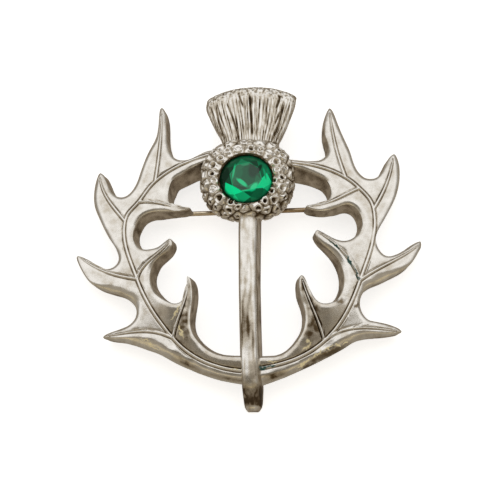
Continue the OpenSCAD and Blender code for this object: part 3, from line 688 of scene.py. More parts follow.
# y, middle x, width as a part of the stem's own, height of the crown, and depth as a part of its own
stemRows = [
    (5.5, 0, 1, 6.2, 1), (2.5, -0.03, 1, 6.35, 1), (0, -0.05, 0.98, 6.42, 1), (-3, -0.05, 0.96, 6.42, 1),
    (-6, -0.05, 0.95, 6.38, 1), (-9, 0, 0.95, 6.22, 1), (-12, 0.05, 0.95, 6.12, 1.02),
    (-14, 0.1, 0.95, 6.05, 1.05), (-16, 0.15, 0.95, 5.95, 1.1), (-18, 0.22, 0.94, 5.86, 1.24),
    (-19.4, 0.27, 0.92, 5.72, 1.38),
    (-20.2, 0.3, 0.9, 5.48, 1.42), (-20.9, 0.3, 0.86, 4.95, 1.44), (-21.5, 0.3, 0.82, 3.85, 1.3),
    (-22, 0.3, 0.77, 2.6, 0.88), (-22.35, 0.3, 0.7, 1.85, 0.63), (-22.6, 0.3, 0.6, 1.62, 0.55),
    (-22.8, 0.3, 0.5, 1.45, 0.49), (-22.9, 0.3, 0.4, 1.2, 0.41),
]


def smoothRows(rows, places, turn=1):
    # a smooth curve through each column of a table, at places in its first column
    table = np.array(rows, float)
    x = table[:, 0] * turn
    slopes = np.gradient(table, x, axis=0)
    i = np.clip(np.searchsorted(x, places * turn, side="right") - 1, 0, len(x) - 2)
    h = (x[i + 1] - x[i])[:, None]
    t = ((places * turn - x[i])[:, None]) / h
    a, b, ma, mb = table[i], table[i + 1], slopes[i], slopes[i + 1]
    return ((2 * t ** 3 - 3 * t ** 2 + 1) * a + (t ** 3 - 2 * t ** 2 + t) * h * ma
            + (3 * t ** 2 - 2 * t ** 3) * b + (t ** 3 - t ** 2) * h * mb)


def makeStem():
    shape = stemShape
    place = np.linspace(0, 1, shape["steps"]) ** 0.9
    y = stemRows[0][0] + (stemRows[-1][0] - stemRows[0][0]) * place
    rows = smoothRows(stemRows, y, -1)
    middle, half, crown, depth = rows[:, 1], rows[:, 2] * shape["width"] / 2, rows[:, 3], rows[:, 4]
    back = np.maximum(0, crown - depth * shape["depth"])
    spring = (crown + 2 * back) / 3
    angle = np.linspace(0, pi, shape["crownSteps"])
    c, s = np.cos(angle), np.sin(angle)
    power = np.where(c > 0, shape["rightRound"], shape["leftRound"])
    fx = np.sign(c) * abs(c) ** (2 / power)
    fz = s ** (2 / power)
    shift = shape["middle"] * (1 - fx ** 2) * half[:, None] / half[0]
    ringX = middle[:, None] + half[:, None] * fx + shift
    ringZ = spring[:, None] + (crown - spring)[:, None] * fz
    crownPart = np.stack([ringX, np.repeat(y[:, None], len(angle), 1), ringZ], -1)
    crownPart[..., 2] += 0.05 * fz * grain(crownPart * np.array([0.8, 0.35, 1]), 1.0, 11)

    def sideRow(turn, t):  # beside the crown, down to the back
        across = half * (1 + (shape["spread"] - 1) * t)
        return np.stack([middle + turn * across, y, spring + (back - spring) * t], -1)

    base = [np.stack([middle + half * shape["spread"] * k, y, back + 0.12 * (1 - k * k)], -1)
            for k in (-0.8, -0.4, 0, 0.4, 0.8)]
    rest = [sideRow(-1, t) for t in (0.45, 0.9, 1)] + base + [sideRow(1, t) for t in (1, 0.9, 0.45)]
    points = np.concatenate([crownPart, np.stack(rest, 1)], axis=1)
    # painted shade on the sides of the stem, none on its crown
    side = shape["sideShade"] * (1 - fz)[None, :] + 0 * ringZ
    streak = grain(crownPart * np.array([1, 0.14, 0.3]), shape["streakSize"], 13)
    along = crownPart[..., 1]
    # a painted dark reflection along the crown of the stem
    darkReflection = bump(along - shape["darkReflectionAt"], shape["darkReflectionLength"])
    darkReflection = ease(1.25, 0.4, abs(crownPart[..., 0] + 0.25)) * darkReflection
    darkReflection = darkReflection * (0.9 + 0.35 * grain(crownPart * np.array([1, 0.4, 1]), 1.2, 14))
    hem = along - 0.7 * abs(crownPart[..., 0] - 0.3)  # the painted shade reaches higher at the sides
    end = ease(-19.6, -22.2, hem) * ease(-22.5, -22.2, along) * ease(0.55, -0.15, streak)
    side = side + shape["streak"] * ease(0.0, 0.5, streak) - 0.2 * ease(0.05, -0.5, streak) * fz
    side = side + shape["darkReflection"] * darkReflection + shape["endShade"] * end
    patinaAndShade = np.concatenate([side, np.full((len(y), len(rest)), shape["backStain"])], axis=1)
    patinaAndShade = patinaAndShade + 0.08 * grain(points, 0.9, 12)
    n, columns = points.shape[:2]
    quads = gridQuads(n, columns, wrapColumns=True)
    ends = []
    flat = points.reshape(-1, 3)
    extra = np.array([points[0].mean(0), points[-1].mean(0)])
    for end, row in ((0, 0), (1, n - 1)):
        for j in range(columns):
            a, b = row * columns + j, row * columns + (j + 1) % columns
            centre = n * columns + end
            ends.append([centre, centre, b, a] if end == 0 else [centre, centre, a, b])
    flat = np.concatenate([flat, extra])
    values = np.concatenate([patinaAndShade.ravel(), [0.5, 0.5]])
    return makePiece("stem", flat, np.concatenate([quads, np.array(ends)]), {"patinaAndShade": values},
                     castMetalMaterial, flip=True)


makeStem()

# Head

headShape = {
    "middle": (-0.3, 10.3), "rx": 6.75, "ry": 6.1, "square": 2.4,
    "lower": 0.7,          # how far the plan moves toward the stem where it nears the stone
    "stone": (-0.35, 9.4), "stoneRadius": 3.8,
    "steps": 640,
    "cellGap": 1.32,       # least distance between the middles of two cells
    "cellRadius": 0.47,
    "cellTries": 9000,
    "rimWidth": 0.2, "rimRise": 0.25,
    "pitDepth": 0.42,
    "creaseWidth": 0.24, "creaseDepth": 0.16,
    "wallRise": 0.9,       # share of the relief that is left on the side
    "wave": 0.08, "waveSize": 1.2,
    # lowSideShade is painted shade in the pits on the side toward the stem
    "stain": 1.0, "lowSideShade": 0.4, "wallPatinaAndShade": 0.5, "backStain": 0.45,
    "seatShade": 0.7, "lipShade": 0.6,  # painted shade round the seat of the stone, and over its edge, in the gap to the stone
    "rimWorn": 0.5, "lowRimHighlight": 0.35,  # the second is a painted highlight on the rims toward the stem, beside the painted shade there
    "darkest": 0.68,
}
# How far toward the stone's rim, size of the plan, height: from the flat back up the side to the rim,
# over it and down into the seat; the second part is round the stone, with its radius
headRows = [
    (0, 0, 2.6), (0, 0.84, 2.6), (0, 0.92, 3.2), (0, 0.97, 4.0), (0, 0.995, 5.0), (0, 0.975, 6.0),
    (0, 0.93, 6.7), (0, 0.87, 7.2), (0, 0.79, 7.62), (0, 0.71, 7.9), (0.5, 0.64, 8.0), (1, 1.045, 7.95),
    (1, 1.0, 7.75), (1, 0.985, 7.5), (1, 0.9, 7.2), (1, 0.5, 5.8), (1, 0.12, 4.9), (1, 0, 4.9),
]
# Steps of the mesh from each of these rows to the next
headSteps = [6, 8, 9, 11, 11, 9, 9, 9, 8, 7, 6, 5, 4, 4, 5, 4, 1]
# Cells on the head: x and y from the stone's middle, radius, and depth of the pit against the usual
# depth, with a bead where it is below 0
headCells = [
    (-1.2, 4.8, 0.55, -0.6), (0.7, 4.7, 0.45, 0.9), (2.1, 4.5, 0.42, 0.5), (3.3, 4.0, 0.4, -0.2),
    (-2.7, 4.4, 0.42, 0.4), (-3.7, 3.3, 0.4, 0.6), (-4.7, 2.2, 0.6, 0.6), (-4.9, 0.9, 0.34, 1.0),
    (4.3, 2.5, 0.55, 0.5), (4.5, 1.2, 0.4, 0.2), (5.2, 0.1, 0.45, 1.1), (5.1, -1.4, 0.5, 0.6),
    (-4.7, -0.2, 0.4, 0.2), (-4.7, -1.5, 0.55, -0.4), (-3.9, -2.9, 0.6, 1.0), (-5.2, -2.9, 0.34, 0.8),
    (-2.5, -4.4, 0.5, 1.1), (-1.3, -5.1, 0.36, 1.0), (-0.3, -4.6, 0.3, 0.5), (0.5, -5.2, 0.42, 1.2),
    (1.7, -4.4, 0.55, 0.9), (2.9, -4.4, 0.5, 0.7), (4.1, -3.2, 0.55, 0.9), (4.5, -4.4, 0.4, 0.7),
]


def headPlan(angle, size):
    c, s = np.cos(angle), np.sin(angle)
    rx, ry, square = headShape["rx"], headShape["ry"], headShape["square"]
    r = ((abs(c) / rx) ** square + (abs(s) / ry) ** square) ** (-1 / square)
    middleY = headShape["middle"][1] - headShape["lower"] * ease(0.95, 0.7, size)
    return np.stack([headShape["middle"][0] + size * r * c, middleY + size * r * s], -1)


def headRings():  # the plain surface, ring by ring
    shape = headShape
    rows = np.array(headRows)
    table = [np.linspace(a, b, k, endpoint=False) for a, b, k in zip(rows, rows[1:], headSteps)]
    table = np.concatenate(table + [rows[-1:]])
    angle = np.linspace(0, 2 * pi, shape["steps"], endpoint=False)
    ring = np.stack([np.cos(angle), np.sin(angle)], -1) * shape["stoneRadius"] + np.array(shape["stone"])
    # the last size in the plan's shape, the one at its lip, and the first round the stone
    lastSize, lipSize, seatSize = [row[1] for row in headRows[9:12]]
    rings = []
    for toward, size, z in table:
        if toward >= 1:
            xy = (ring - shape["stone"]) * size + shape["stone"]
        else:
            seat = (ring - shape["stone"]) * seatSize + shape["stone"]
            plan = size if toward == 0 else lastSize + (lipSize - lastSize) * min(1, 2 * toward)
            xy = headPlan(angle, plan) * (1 - toward) + seat * toward
        rings.append(np.concatenate([xy, np.full((len(angle), 1), z)], 1))
    return np.array(rings)


def headSpots(flat, free):  # the cells of the table, then seeded ones wherever there is room
    shape = headShape
    stone = np.array(shape["stone"])
    spots, radii, pits = [], [], []
    for x, y, radius, pit in headCells:
        gap = np.hypot(flat[:, 0] - stone[0] - x, flat[:, 1] - stone[1] - y) + 0.2 * (8 - flat[:, 2])
        spots.append(flat[int(gap.argmin())])
        radii.append(radius)
        pits.append(pit)
    rng = np.random.default_rng(5)
    for k in rng.choice(np.flatnonzero(free), shape["cellTries"], replace=False):
        radius = shape["cellRadius"] * rng.uniform(0.75, 1.2)
        gaps = np.linalg.norm(np.array(spots) - flat[k], axis=1)
        if (gaps > shape["cellGap"] * (np.array(radii) + radius) / (2 * shape["cellRadius"])).all():
            spots.append(flat[k])
            radii.append(radius)
            lower = flat[k, 1] < stone[1] - 3.6
            pits.append(rng.choice([-0.2, 0.8, 1.1, 1.3] if lower else [-0.3, 0.3, 0.8, 1.1]))
    return np.array(spots), np.array(radii), np.array(pits)


def headRelief(flat, spots, radii, pits):  # height and stain of the cells' rims and pits
    shape = headShape
    warped = flat + 0.22 * np.stack([grain(flat, 1.1, seed) for seed in (24, 25, 26)], -1)
    lower = ease(-2.6, -4.4, flat[:, 1] - shape["stone"][1])
    relief, stain = np.zeros(len(flat)), np.zeros(len(flat))
    for block in range(0, len(flat), 4000):
        some = slice(block, block + 4000)
        gaps = np.linalg.norm(warped[some][:, None, :] - spots[None], axis=2) - radii
        nearest = gaps.argmin(1)
        near = np.partition(gaps, 1, axis=1)[:, :2]
        rim = bump(near[:, 0], shape["rimWidth"])
        pit = ease(0, -0.85, near[:, 0] / radii[nearest]) * pits[nearest]
        crease = bump(near[:, 1] - near[:, 0], shape["creaseWidth"]) * ease(0, 0.14, near[:, 0])
        relief[some] = shape["rimRise"] * rim - shape["pitDepth"] * pit - shape["creaseDepth"] * crease
        dark = shape["stain"] * (1.2 * np.clip(pit, 0, 1) + 0.5 * crease)
        # toward the stem the pits get painted shade and the rims a painted highlight
        worn = shape["rimWorn"] + shape["lowRimHighlight"] * lower[some]
        stain[some] = dark * (1 + shape["lowSideShade"] * lower[some]) - worn * rim
    return relief, stain


def makeHead():
    shape = headShape
    points = headRings()
    upStep = np.gradient(points, axis=0)
    normal = np.cross(np.roll(points, -1, axis=1) - np.roll(points, 1, axis=1), upStep)
    normal /= np.maximum(np.linalg.norm(normal, axis=2, keepdims=True), 1e-9)
    height = points[..., 2]
    away = np.hypot(points[..., 0] - shape["stone"][0], points[..., 1] - shape["stone"][1])
    seat = shape["stoneRadius"]
    outside = ease(seat * 1.015, seat * 1.05, away)
    flat = points.reshape(-1, 3)
    free = ((away > seat * 1.08) & (height > 2.8)).ravel()
    relief, stain = [part.reshape(height.shape) for part in headRelief(flat, *headSpots(flat, free))]
    relief = relief + shape["wave"] * grain(points, shape["waveSize"], 21) + 0.025 * grain(points, 3.4, 22)
    relief = relief * (shape["wallRise"] + (1 - shape["wallRise"]) * ease(6.2, 7.3, height))
    back = ease(3.1, 2.6, height)
    relief = relief * (1 - back)
    points = points + normal * (relief * outside)[..., None]
    # the side darkens lower down: patina with painted shade
    patinaAndShade = stain + shape["wallPatinaAndShade"] * ease(7.5, 5.8, height) - 0.08 + 0.25 * grain(points, 0.8, 23)
    # painted shade in the gap round the stone
    patinaAndShade = patinaAndShade + shape["seatShade"] * ease(seat * 1.085, seat * 1.045, away)
    patinaAndShade = np.clip(patinaAndShade, metalLook["cleanest"], shape["darkest"]) * outside
    patinaAndShade = patinaAndShade + shape["lipShade"] * (1 - outside) * ease(7.2, 7.4, height)
    patinaAndShade = patinaAndShade * (1 - back) + shape["backStain"] * back
    quads = gridQuads(*height.shape, wrapColumns=True)
    values = np.clip(patinaAndShade, metalLook["cleanest"], 1)
    return makePiece("head", points.reshape(-1, 3), quads, {"patinaAndShade": values}, castMetalMaterial)


makeHead()

# Tuft

tuftShape = {
    "steps": 400, "rows": 114, "length": 8.5, "depth": 3, "sideDrop": 0.7,
    "lean": 0.5,           # how far the sides lean in toward the back
    "ribs": 23, "ribRise": 0.115, "ribWidth": 0.09, "ribStain": 0.5,
    "grooveRise": 0.25, "grooveWidth": 0.13, "grooveStain": 0.68,
    "rimFrom": 0.84, "pebble": 0.13, "pebbleSize": 3.3, "pebbleStain": 0.5,
    "streak": 0.025, "streakSize": 4.6, "streakStain": 0.22,
    # the crease above the head
    "neckAt": 0.15, "neckWidth": 0.022, "neckDepth": 0.12, "neckStain": 0.5,
    "sideRound": 0.6, "endRound": 0.7, "roundDepth": 0.5,
    "wallPatinaAndShade": 0.42,
}
# Place along the tuft from 0 to 1, x and y of the left end of a row and of its right end, height of
# its face, bow away from the head
tuftRows = [
    (0.0, -4.1, 15.2, 4.4, 15.2, 6.1, 0), (0.2, -4.1, 16.6, 4.4, 16.3, 5.8, 0.2),
    (0.42, -5, 18.4, 5.3, 18.1, 5.9, 0.8), (0.66, -5.9, 20.4, 6.1, 20.3, 5.9, 1.3),
    (0.88, -6.5, 22.3, 6.8, 22.4, 5.8, 1.5), (1.0, -6.4, 23.7, 7, 24, 5.6, 1.5),
]
# The deeper grooves between the ribs: place at the top and at the foot from 0 to 1 across, depth,
# width, and from where to where along the tuft
tuftGrooves = [
    (0.12, 0.033, 0.8, 1.1, 0.2, 0.8), (0.05, 0.0, 0.4, 1, 0.3, 0.85), (0.22, 0.32, 0.8, 1.0, 0.2, 0.8),
    (0.36, 0.56, 0.8, 1.0, 0.67, 0.9), (0.43, 0.46, 0.5, 0.8, 0.3, 0.72),
    (0.49, 0.54, 1.0, 1.3, 0.28, 0.88), (0.653, 0.777, 0.55, 1.0, 0.42, 0.83),
    (0.835, 0.77, 1.0, 1.4, 0.7, 0.9), (0.925, 0.76, 0.9, 1.2, 0.45, 0.65),
    (0.89, 0.89, 0.9, 1.2, 0.2, 0.8), (0.945, 0.945, 0.6, 0.8, 0.25, 0.78),
    (0.57, 0.6, 0.45, 0.8, 0.2, 0.8),
]


def makeTuft():
    shape = tuftShape
    v = np.linspace(0, 1, shape["rows"])
    rows = smoothRows(tuftRows, v)
    u = np.linspace(0, 1, shape["steps"])[None, :]
    bow = 4 * u * (1 - u)
    x = rows[:, 1:2] + (rows[:, 3:4] - rows[:, 1:2]) * u
    y = rows[:, 2:3] + (rows[:, 4:5] - rows[:, 2:3]) * u + rows[:, 6:7] * bow
    across = rows[:, 3:4] - rows[:, 1:2]
    z = rows[:, 5:6] - shape["sideDrop"] * (1 - bow) ** 2 + 0 * x
    along = v[:, None]
    face = np.stack([x, y, z], -1)
    drift = 0.12 * grain(face * np.array([0.5, 0.3, 1]), 1.0, 34)
    carved = np.zeros_like(x)
    dark = np.zeros_like(x)
    body = ease(0.12, 0.2, along) * ease(shape["rimFrom"] + 0.06, shape["rimFrom"] - 0.04, along)
    rng = np.random.default_rng(8)
    for k in range(1, shape["ribs"]):  # thin lines between all the ribs
        line = (k + rng.uniform(-0.22, 0.22) + rng.uniform(-0.2, 0.2) * along) / shape["ribs"]
        strength = rng.uniform(0.75, 1.1)
        strength = strength * (0.85 + 0.25 * np.sin(along * rng.uniform(6, 14) + rng.uniform(0, 6)))
        ribWidth = shape["ribWidth"] * rng.uniform(0.8, 1.3)
        near = bump((u - line) * across + drift, ribWidth) * strength * body
        carved = np.maximum(carved, shape["ribRise"] * near)
        dark = np.maximum(dark, shape["ribStain"] * near)
    for top, foot, depth, width, start, end in tuftGrooves:
        gap = (u - foot - (top - foot) * along) * across + drift
        fade = ease(start - 0.07, start + 0.07, along) * ease(end + 0.05, end - 0.05, along) * depth
        grooveWidth = shape["grooveWidth"] * width
        carved = np.maximum(carved, shape["grooveRise"] * bump(gap, grooveWidth) * fade)
        dark = np.maximum(dark, shape["grooveStain"] * bump(gap, 0.8 * grooveWidth) * fade)
    rough = ease(shape["rimFrom"] - 0.06, shape["rimFrom"] + 0.08, along)
    pebble = grain(face, shape["pebbleSize"], 31)
    streak = grain(face * np.array([1.0, 0.2, 1.0]), shape["streakSize"], 32)
    neck = bump(along - shape["neckAt"], shape["neckWidth"])
    relief = shape["streak"] * streak * (1 - rough) + shape["pebble"] * pebble * rough - carved
    relief = relief - shape["neckDepth"] * neck
    sideEdge = np.minimum(u, 1 - u) * across
    endEdge = (1 - along) * shape["length"]
    rounding = 0 * x
    for gap, radius in ((sideEdge, shape["sideRound"]), (endEdge, shape["endRound"])):
        arc = np.sqrt(1 - (1 - np.clip(gap / radius, 0, 1)) ** 2)
        rounding = rounding + shape["roundDepth"] * (1 - arc)
    face[..., 2] = z + relief - rounding
    patinaAndShade = dark + shape["pebbleStain"] * ease(0.1, -0.5, pebble) * rough
    patinaAndShade = patinaAndShade + shape["streakStain"] * ease(0.15, -0.45, streak) * (1 - rough)
    patinaAndShade = patinaAndShade - shape["streakStain"] * ease(0.12, 0.0, dark) * ease(-0.3, 0.4, streak)
    patinaAndShade = np.clip(patinaAndShade + shape["neckStain"] * neck + 0.06, metalLook["cleanest"], 0.9)
    middle = rows[:, 1:2] + across / 2
    back = np.stack([middle + (x - middle) * (1 - 2 * shape["lean"] / across), y - shape["lean"] * along,
                     rows[:, 5:6] - shape["depth"] + 0 * x], -1)[:, ::-1]
    back[..., 2] += 0.05 * grain(back, 1.2, 33)
    ring = np.concatenate([face, back], axis=1)
    # the back and sides of the tuft: patina with painted shade
    values = np.concatenate([patinaAndShade, np.full_like(patinaAndShade, shape["wallPatinaAndShade"])], axis=1)
    columns = ring.shape[1]
    ends = []
    for row, order in ((0, 1), (shape["rows"] - 1, -1)):
        for j in range(shape["steps"] - 1):
            a, b = row * columns + j, row * columns + j + 1
            c, d = row * columns + columns - 2 - j, row * columns + columns - 1 - j
            ends.append([a, b, c, d][::order])
    quads = np.concatenate([gridQuads(ring.shape[0], columns, wrapColumns=True), np.array(ends)])
    return makePiece("tuft", ring.reshape(-1, 3), quads, {"patinaAndShade": values}, castMetalMaterial, flip=True)


makeTuft()

# Hinge plates and catch, plain and soldered into the hollow backs of the leaves

pinShape = {
    "hinge": (-17, 6.55, 1.4), "turn": 1,
    "eyeWidth": 0.8, "sideGap": 0.1, "plateWidth": 0.8, "plateRadius": 1.1, "rootHeight": 2,
    "holeRadius": 0.43,
    "catchReach": 34.6, "catchRadius": 1.2, "catchBore": 0.6, "catchMouth": 0.95, "catchWidth": 1.6,
    "soften": 0.12, "stain": 0.35,
}


def onPin(points):  # x along the pin, y along the hinge's axis
    a = radians(pinShape["turn"])
    x, y, z = points[..., 0], points[..., 1], points[..., 2]
    atX, atY, atZ = pinShape["hinge"]
    return np.stack([atX + x * cos(a) - y * sin(a), atY + x * sin(a) + y * cos(a), atZ + z], -1)


def footed(angle, radius, root):  # a round eye that widens into a square foot above
    c, s = np.cos(angle), np.sin(angle)
    square = np.minimum(radius / np.maximum(abs(c), 1e-6), root / np.maximum(s, 1e-6))
    return np.where(s > 0, square, radius)


def softLoops(inner, outer, half, soft, innerSoft):  # radius and place along, with broken edges
    return [(inner, -half + innerSoft), (inner + innerSoft, -half), (outer - soft, -half),
            (outer, -half + soft), (outer, half - soft), (outer - soft, half),
            (inner + innerSoft, half), (inner, half - innerSoft)]


def makeHingePlates():
    shape = pinShape
    angle = np.linspace(0, 2 * pi, 96, endpoint=False)
    outer = footed(angle, shape["plateRadius"], shape["rootHeight"])
    half = shape["plateWidth"] / 2
    loops = softLoops(shape["holeRadius"] + 0 * angle, outer, half, shape["soften"], shape["soften"] / 2)
    plate = np.stack([np.stack([r * np.cos(angle), y + 0 * r, r * np.sin(angle)], -1) for r, y in loops])
    offset = shape["eyeWidth"] / 2 + shape["sideGap"] + half
    quads = gridQuads(len(loops), len(angle), wrapRows=True, wrapColumns=True)
    both = [onPin(plate + np.array([0, side * offset, 0])).reshape(-1, 3) for side in (-1, 1)]
    both = np.concatenate(both)
    quads = np.concatenate([quads, quads + len(both) // 2])
    patinaAndShade = shape["stain"] + 0.15 * grain(both, 1.4, 41)
    return makePiece("hingePlates", both, quads, {"patinaAndShade": patinaAndShade}, castMetalMaterial)


def makeCatch():
    shape = pinShape
    mouth = np.arcsin(shape["catchMouth"] / 2 / shape["catchBore"])
    angle = np.linspace(-pi / 2 + mouth, 3 * pi / 2 - mouth, 80)
    outer = footed(angle, shape["catchRadius"], shape["rootHeight"])
    loops = softLoops(shape["catchBore"] + 0 * angle, outer, shape["catchWidth"] / 2, shape["soften"],
                      shape["soften"])
    hook = np.stack([np.stack([shape["catchReach"] + x + 0 * r, r * np.cos(angle), r * np.sin(angle)], -1)
                     for r, x in loops], axis=1)
    n, columns = hook.shape[:2]
    quads = gridQuads(n, columns, wrapColumns=True)
    tips = [[row * columns + k for k in corners][::order] for row, order in ((0, 1), (n - 1, -1))
            for corners in ((0, 1, 2, 3), (0, 3, 4, 7), (7, 4, 5, 6))]
    flat = onPin(hook).reshape(-1, 3)
    patinaAndShade = shape["stain"] + 0.15 * grain(flat, 1.4, 42)
    return makePiece("catchHook", flat, np.concatenate([quads, np.array(tips)]), {"patinaAndShade": patinaAndShade},
                     castMetalMaterial)


makeHingePlates()
makeCatch()
print("casting made")

# Stone: the solid's own facets, with their edges just broken

stoneShape = {
    "middle": (-0.35, 9.4, 7.6), "turn": -11,
    "width": 7.6, "table": 4.6, "crown": 1, "pavilion": 2.6, "girdle": 0.15,
    "kiteRadius": 3.04, "lowRadius": 0.988,
    "innerRadius": 1.5,    # of what shows through the table
    # painted tones: reflections in the middle of the table and on the pavilion, and a painted highlight on
    # the broken edges
    "innerTone": 0.11, "lowTone": 0.12, "tableEdgeGlint": 0.4,
    "bevel": 0.05,
}
stoneLook = {
    "green": (0.004, 0.97, 0.4), "index": 1.46, "roughness": 0.02, "clear": 0.1, "paintedGlow": 0.18,
    "tableGloss": 0.75, "crownGloss": 0.16,
    # a painted shadow in a ring near the rim of the stone
    "darkFrom": 3.3, "darkTo": 3.75, "darkMiddle": (0.12, 0.03), "darkTone": 0.02,
}
# Painted reflections: tones in eight sectors round the stone, from the right toward the tuft: star, kite
# and two halves of the crown, then what shows through the table: at its edge, at its corner
paintedFacetTones = [
    (0.12, 0.85, 0.2, 0.25, 0.1, 0.16), (0.05, 0.19, 0.1, 0.08, 0.07, 0.08),
    (0.2, 0.1, 0.09, 0.09, 0.14, 0.1), (0.05, 0.1, 0.08, 0.03, 0.15, 0.16),
    (0.06, 0.025, 0.015, 0.05, 0.17, 0.18), (1.0, 1.0, 0.45, 0.85, 0.08, 0.12),
    (0.1, 0.5, 0.12, 0.22, 0.2, 0.16), (0.85, 0.14, 0.2, 0.6, 0.22, 0.3),
]
# Gleams and shadows inside the stone, from its middle: x, y, half length, half width, turn, tone
stoneGleams = [
    (-0.57, -0.84, 1.1, 0.34, -41, 0.75), (1.15, -1.6, 0.85, 0.42, 50, 0.8),
    (-1.72, 0.9, 1.3, 0.16, 80, 0.6), (-0.1, 1.95, 0.7, 0.25, 8, 0.3),
    (-0.4, -1.75, 0.7, 0.26, -20, 0.05), (0.3, -2.1, 1.1, 0.14, 4, 0.65),
    (1.0, 0.9, 0.75, 1.2, 0, 0.05), (1.95, 1.3, 0.3, 0.9, -20, 0.03),
    (-0.9, 0.5, 0.5, 0.9, -15, 0.15), (2.7, 0.6, 0.16, 1.0, 12, 0.4),
]


def greenGlass():
    material, tree, shader = newMaterial("greenGlass")
    tone = node(tree, "Attribute", attribute_name="tone").outputs["Fac"]
    table = node(tree, "Attribute", attribute_name="table").outputs["Fac"]
    place = node(tree, "TexCoord").outputs["Object"]
    centre = np.array(stoneShape["middle"][:2]) - dome["middle"]
    for x, y, long, wide, turn, gleam in stoneGleams:
        inside = oval(tree, place, centre[0] + x, centre[1] + y, long, wide, turn, 1.15, 0.6)
        tone = blend(tree, inside, tone, gleam)
    # painted shadow in a ring near the rim
    size = stoneLook["darkTo"]
    middle = centre + stoneLook["darkMiddle"]
    ring = oval(tree, place, *middle, size, size, 0, stoneLook["darkFrom"] / size, 1)
    tone = blend(tree, ring, tone, stoneLook["darkTone"])
    gloss = blend(tree, table, stoneLook["crownGloss"], stoneLook["tableGloss"])
    tree.links.new(gloss, shader.inputs["Specular IOR Level"])
    tint = node(tree, "VectorMath", {0: stoneLook["green"], "Scale": tone}, operation="SCALE").outputs[0]
    tree.links.new(tint, shader.inputs["Base Color"])
    tree.links.new(tint, shader.inputs["Emission Color"])  # a painted glow, standing in for the light that the foil behind it throws back
    for name, key in (("Transmission Weight", "clear"), ("Roughness", "roughness"), ("IOR", "index"),
                      ("Emission Strength", "paintedGlow")):
        shader.inputs[name].default_value = stoneLook[key]
    return material


def makeStone():
    shape = stoneShape
    r, table = shape["width"] / 2, shape["table"] / 2
    halfTurn = cos(pi / 8)
    kiteZ = shape["crown"] * (r - shape["kiteRadius"] * halfTurn) / (r - table)
    inward = 1 - shape["lowRadius"] * halfTurn / r
    lowZ = -shape["girdle"] - (shape["pavilion"] - shape["girdle"]) * inward
    turn = radians(shape["turn"])

    def ring(count, radius, start, z):
        a = turn + radians(start) + 2 * pi * np.arange(count) / count
        return np.stack([radius * np.cos(a), radius * np.sin(a), np.full(count, z)], -1)

    points = np.concatenate([ring(8, table, 0, shape["crown"]), ring(8, shape["kiteRadius"], 22.5, kiteZ),
                             ring(16, r, 0, 0), ring(16, r, 0, -shape["girdle"]),
                             ring(8, shape["lowRadius"], 22.5, lowZ), [[0, 0, -shape["pavilion"]]],
                             ring(8, shape["innerRadius"], 22.5, shape["crown"])])
    kite, top, under, low, tip, deep = 8, 16, 32, 48, 56, 57  # where each ring of points starts
    faces = [[deep + i for i in range(8)]]
    tones = [shape["innerTone"]]
    for i in range(8):
        star, crownKite, half, otherHalf, edge, corner = paintedFacetTones[i]
        faces += [[i, deep + i, (i + 1) % 8], [i, deep + (i + 7) % 8, deep + i]]
        tones += [edge, corner, star, crownKite, half, otherHalf] + [shape["lowTone"]] * 5
        n, last, g, h, e = (i + 1) % 8, (i + 7) % 8, 2 * i, 2 * i + 1, (2 * i + 2) % 16
        faces += [[i, kite + i, n], [i, kite + last, top + g, kite + i], [kite + i, top + g, top + h],
                  [kite + i, top + h, top + e], [top + g, under + g, under + h, top + h],
                  [top + h, under + h, under + e, top + e], [under + g, low + i, under + h],
                  [under + h, low + i, under + e], [under + g, low + last, tip, low + i]]
    points = points + np.array(shape["middle"]) - np.array([*dome["middle"], 0])
    mesh = bpy.data.meshes.new("cutStone")
    mesh.from_pydata((points * mm).tolist(), [], faces)
    shaped = bmesh.new()
    shaped.from_mesh(mesh)
    layer = shaped.faces.layers.float.new("tone")
    flat = shaped.faces.layers.float.new("table")
    for face, tone in zip(shaped.faces, tones):
        face[layer] = tone
        face[flat] = float(all(corner.co.z > (shape["middle"][2] + 0.9) * mm for corner in face.verts))
    bmesh.ops.recalc_face_normals(shaped, faces=shaped.faces)
    sharp = [edge for edge in shaped.edges if edge.calc_face_angle() > 0.01]
    edges = bmesh.ops.bevel(shaped, geom=sharp, offset=shape["bevel"] * mm, segments=1, affect="EDGES",
                            clamp_overlap=True)
    tableZ = (shape["middle"][2] + shape["crown"] - 2 * shape["bevel"]) * mm
    # the broken edges round the table get a painted highlight
    for face in edges["faces"]:
        if face.calc_center_median().z > tableZ:
            face[layer] = shape["tableEdgeGlint"]
    shaped.to_mesh(mesh)
    shaped.free()
    mesh.materials.append(greenGlass())
    piece = bpy.data.objects.new("cutStone", mesh)
    bpy.context.scene.collection.objects.link(piece)
    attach(piece, "brooch")
    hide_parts("stone")
    print("made cutStone with", len(mesh.polygons), "faces")


makeStone()

# Pin and rivet keep their own shapes and get their finish here


wireLook = {
    "brown": (0.31, 0.21, 0.12), "dulled": (0.62, 0.48, 0.32), "bright": (0.8, 0.7, 0.54),
    "roughness": 0.13,
    "blotchSize": 1.6,
    "wornFrom": -3, "wornTo": -7, "worn": 0.45,  # brighter on the left, from the first x to the second
}


def pinWire():
    look = wireLook
    material, tree, shader = newMaterial("pinWire")
    scaled = inMillimetres(tree)[1]
    across = node(tree, "SeparateXYZ", {"Vector": scaled}).outputs["X"]
    worn = mapped(tree, across, look["wornFrom"], look["wornTo"], 0, look["worn"])
    worn = mathNode(tree, "ADD", worn, cloudy(tree, scaled, look["blotchSize"], 4))
    colour = ramp(tree, worn, [(0.3, look["brown"]), (0.62, look["dulled"]), (0.95, look["bright"])])
    tree.links.new(colour, shader.inputs["Base Color"])
    shader.inputs["Metallic"].default_value = 1
    shader.inputs["Roughness"].default_value = look["roughness"]
    return material


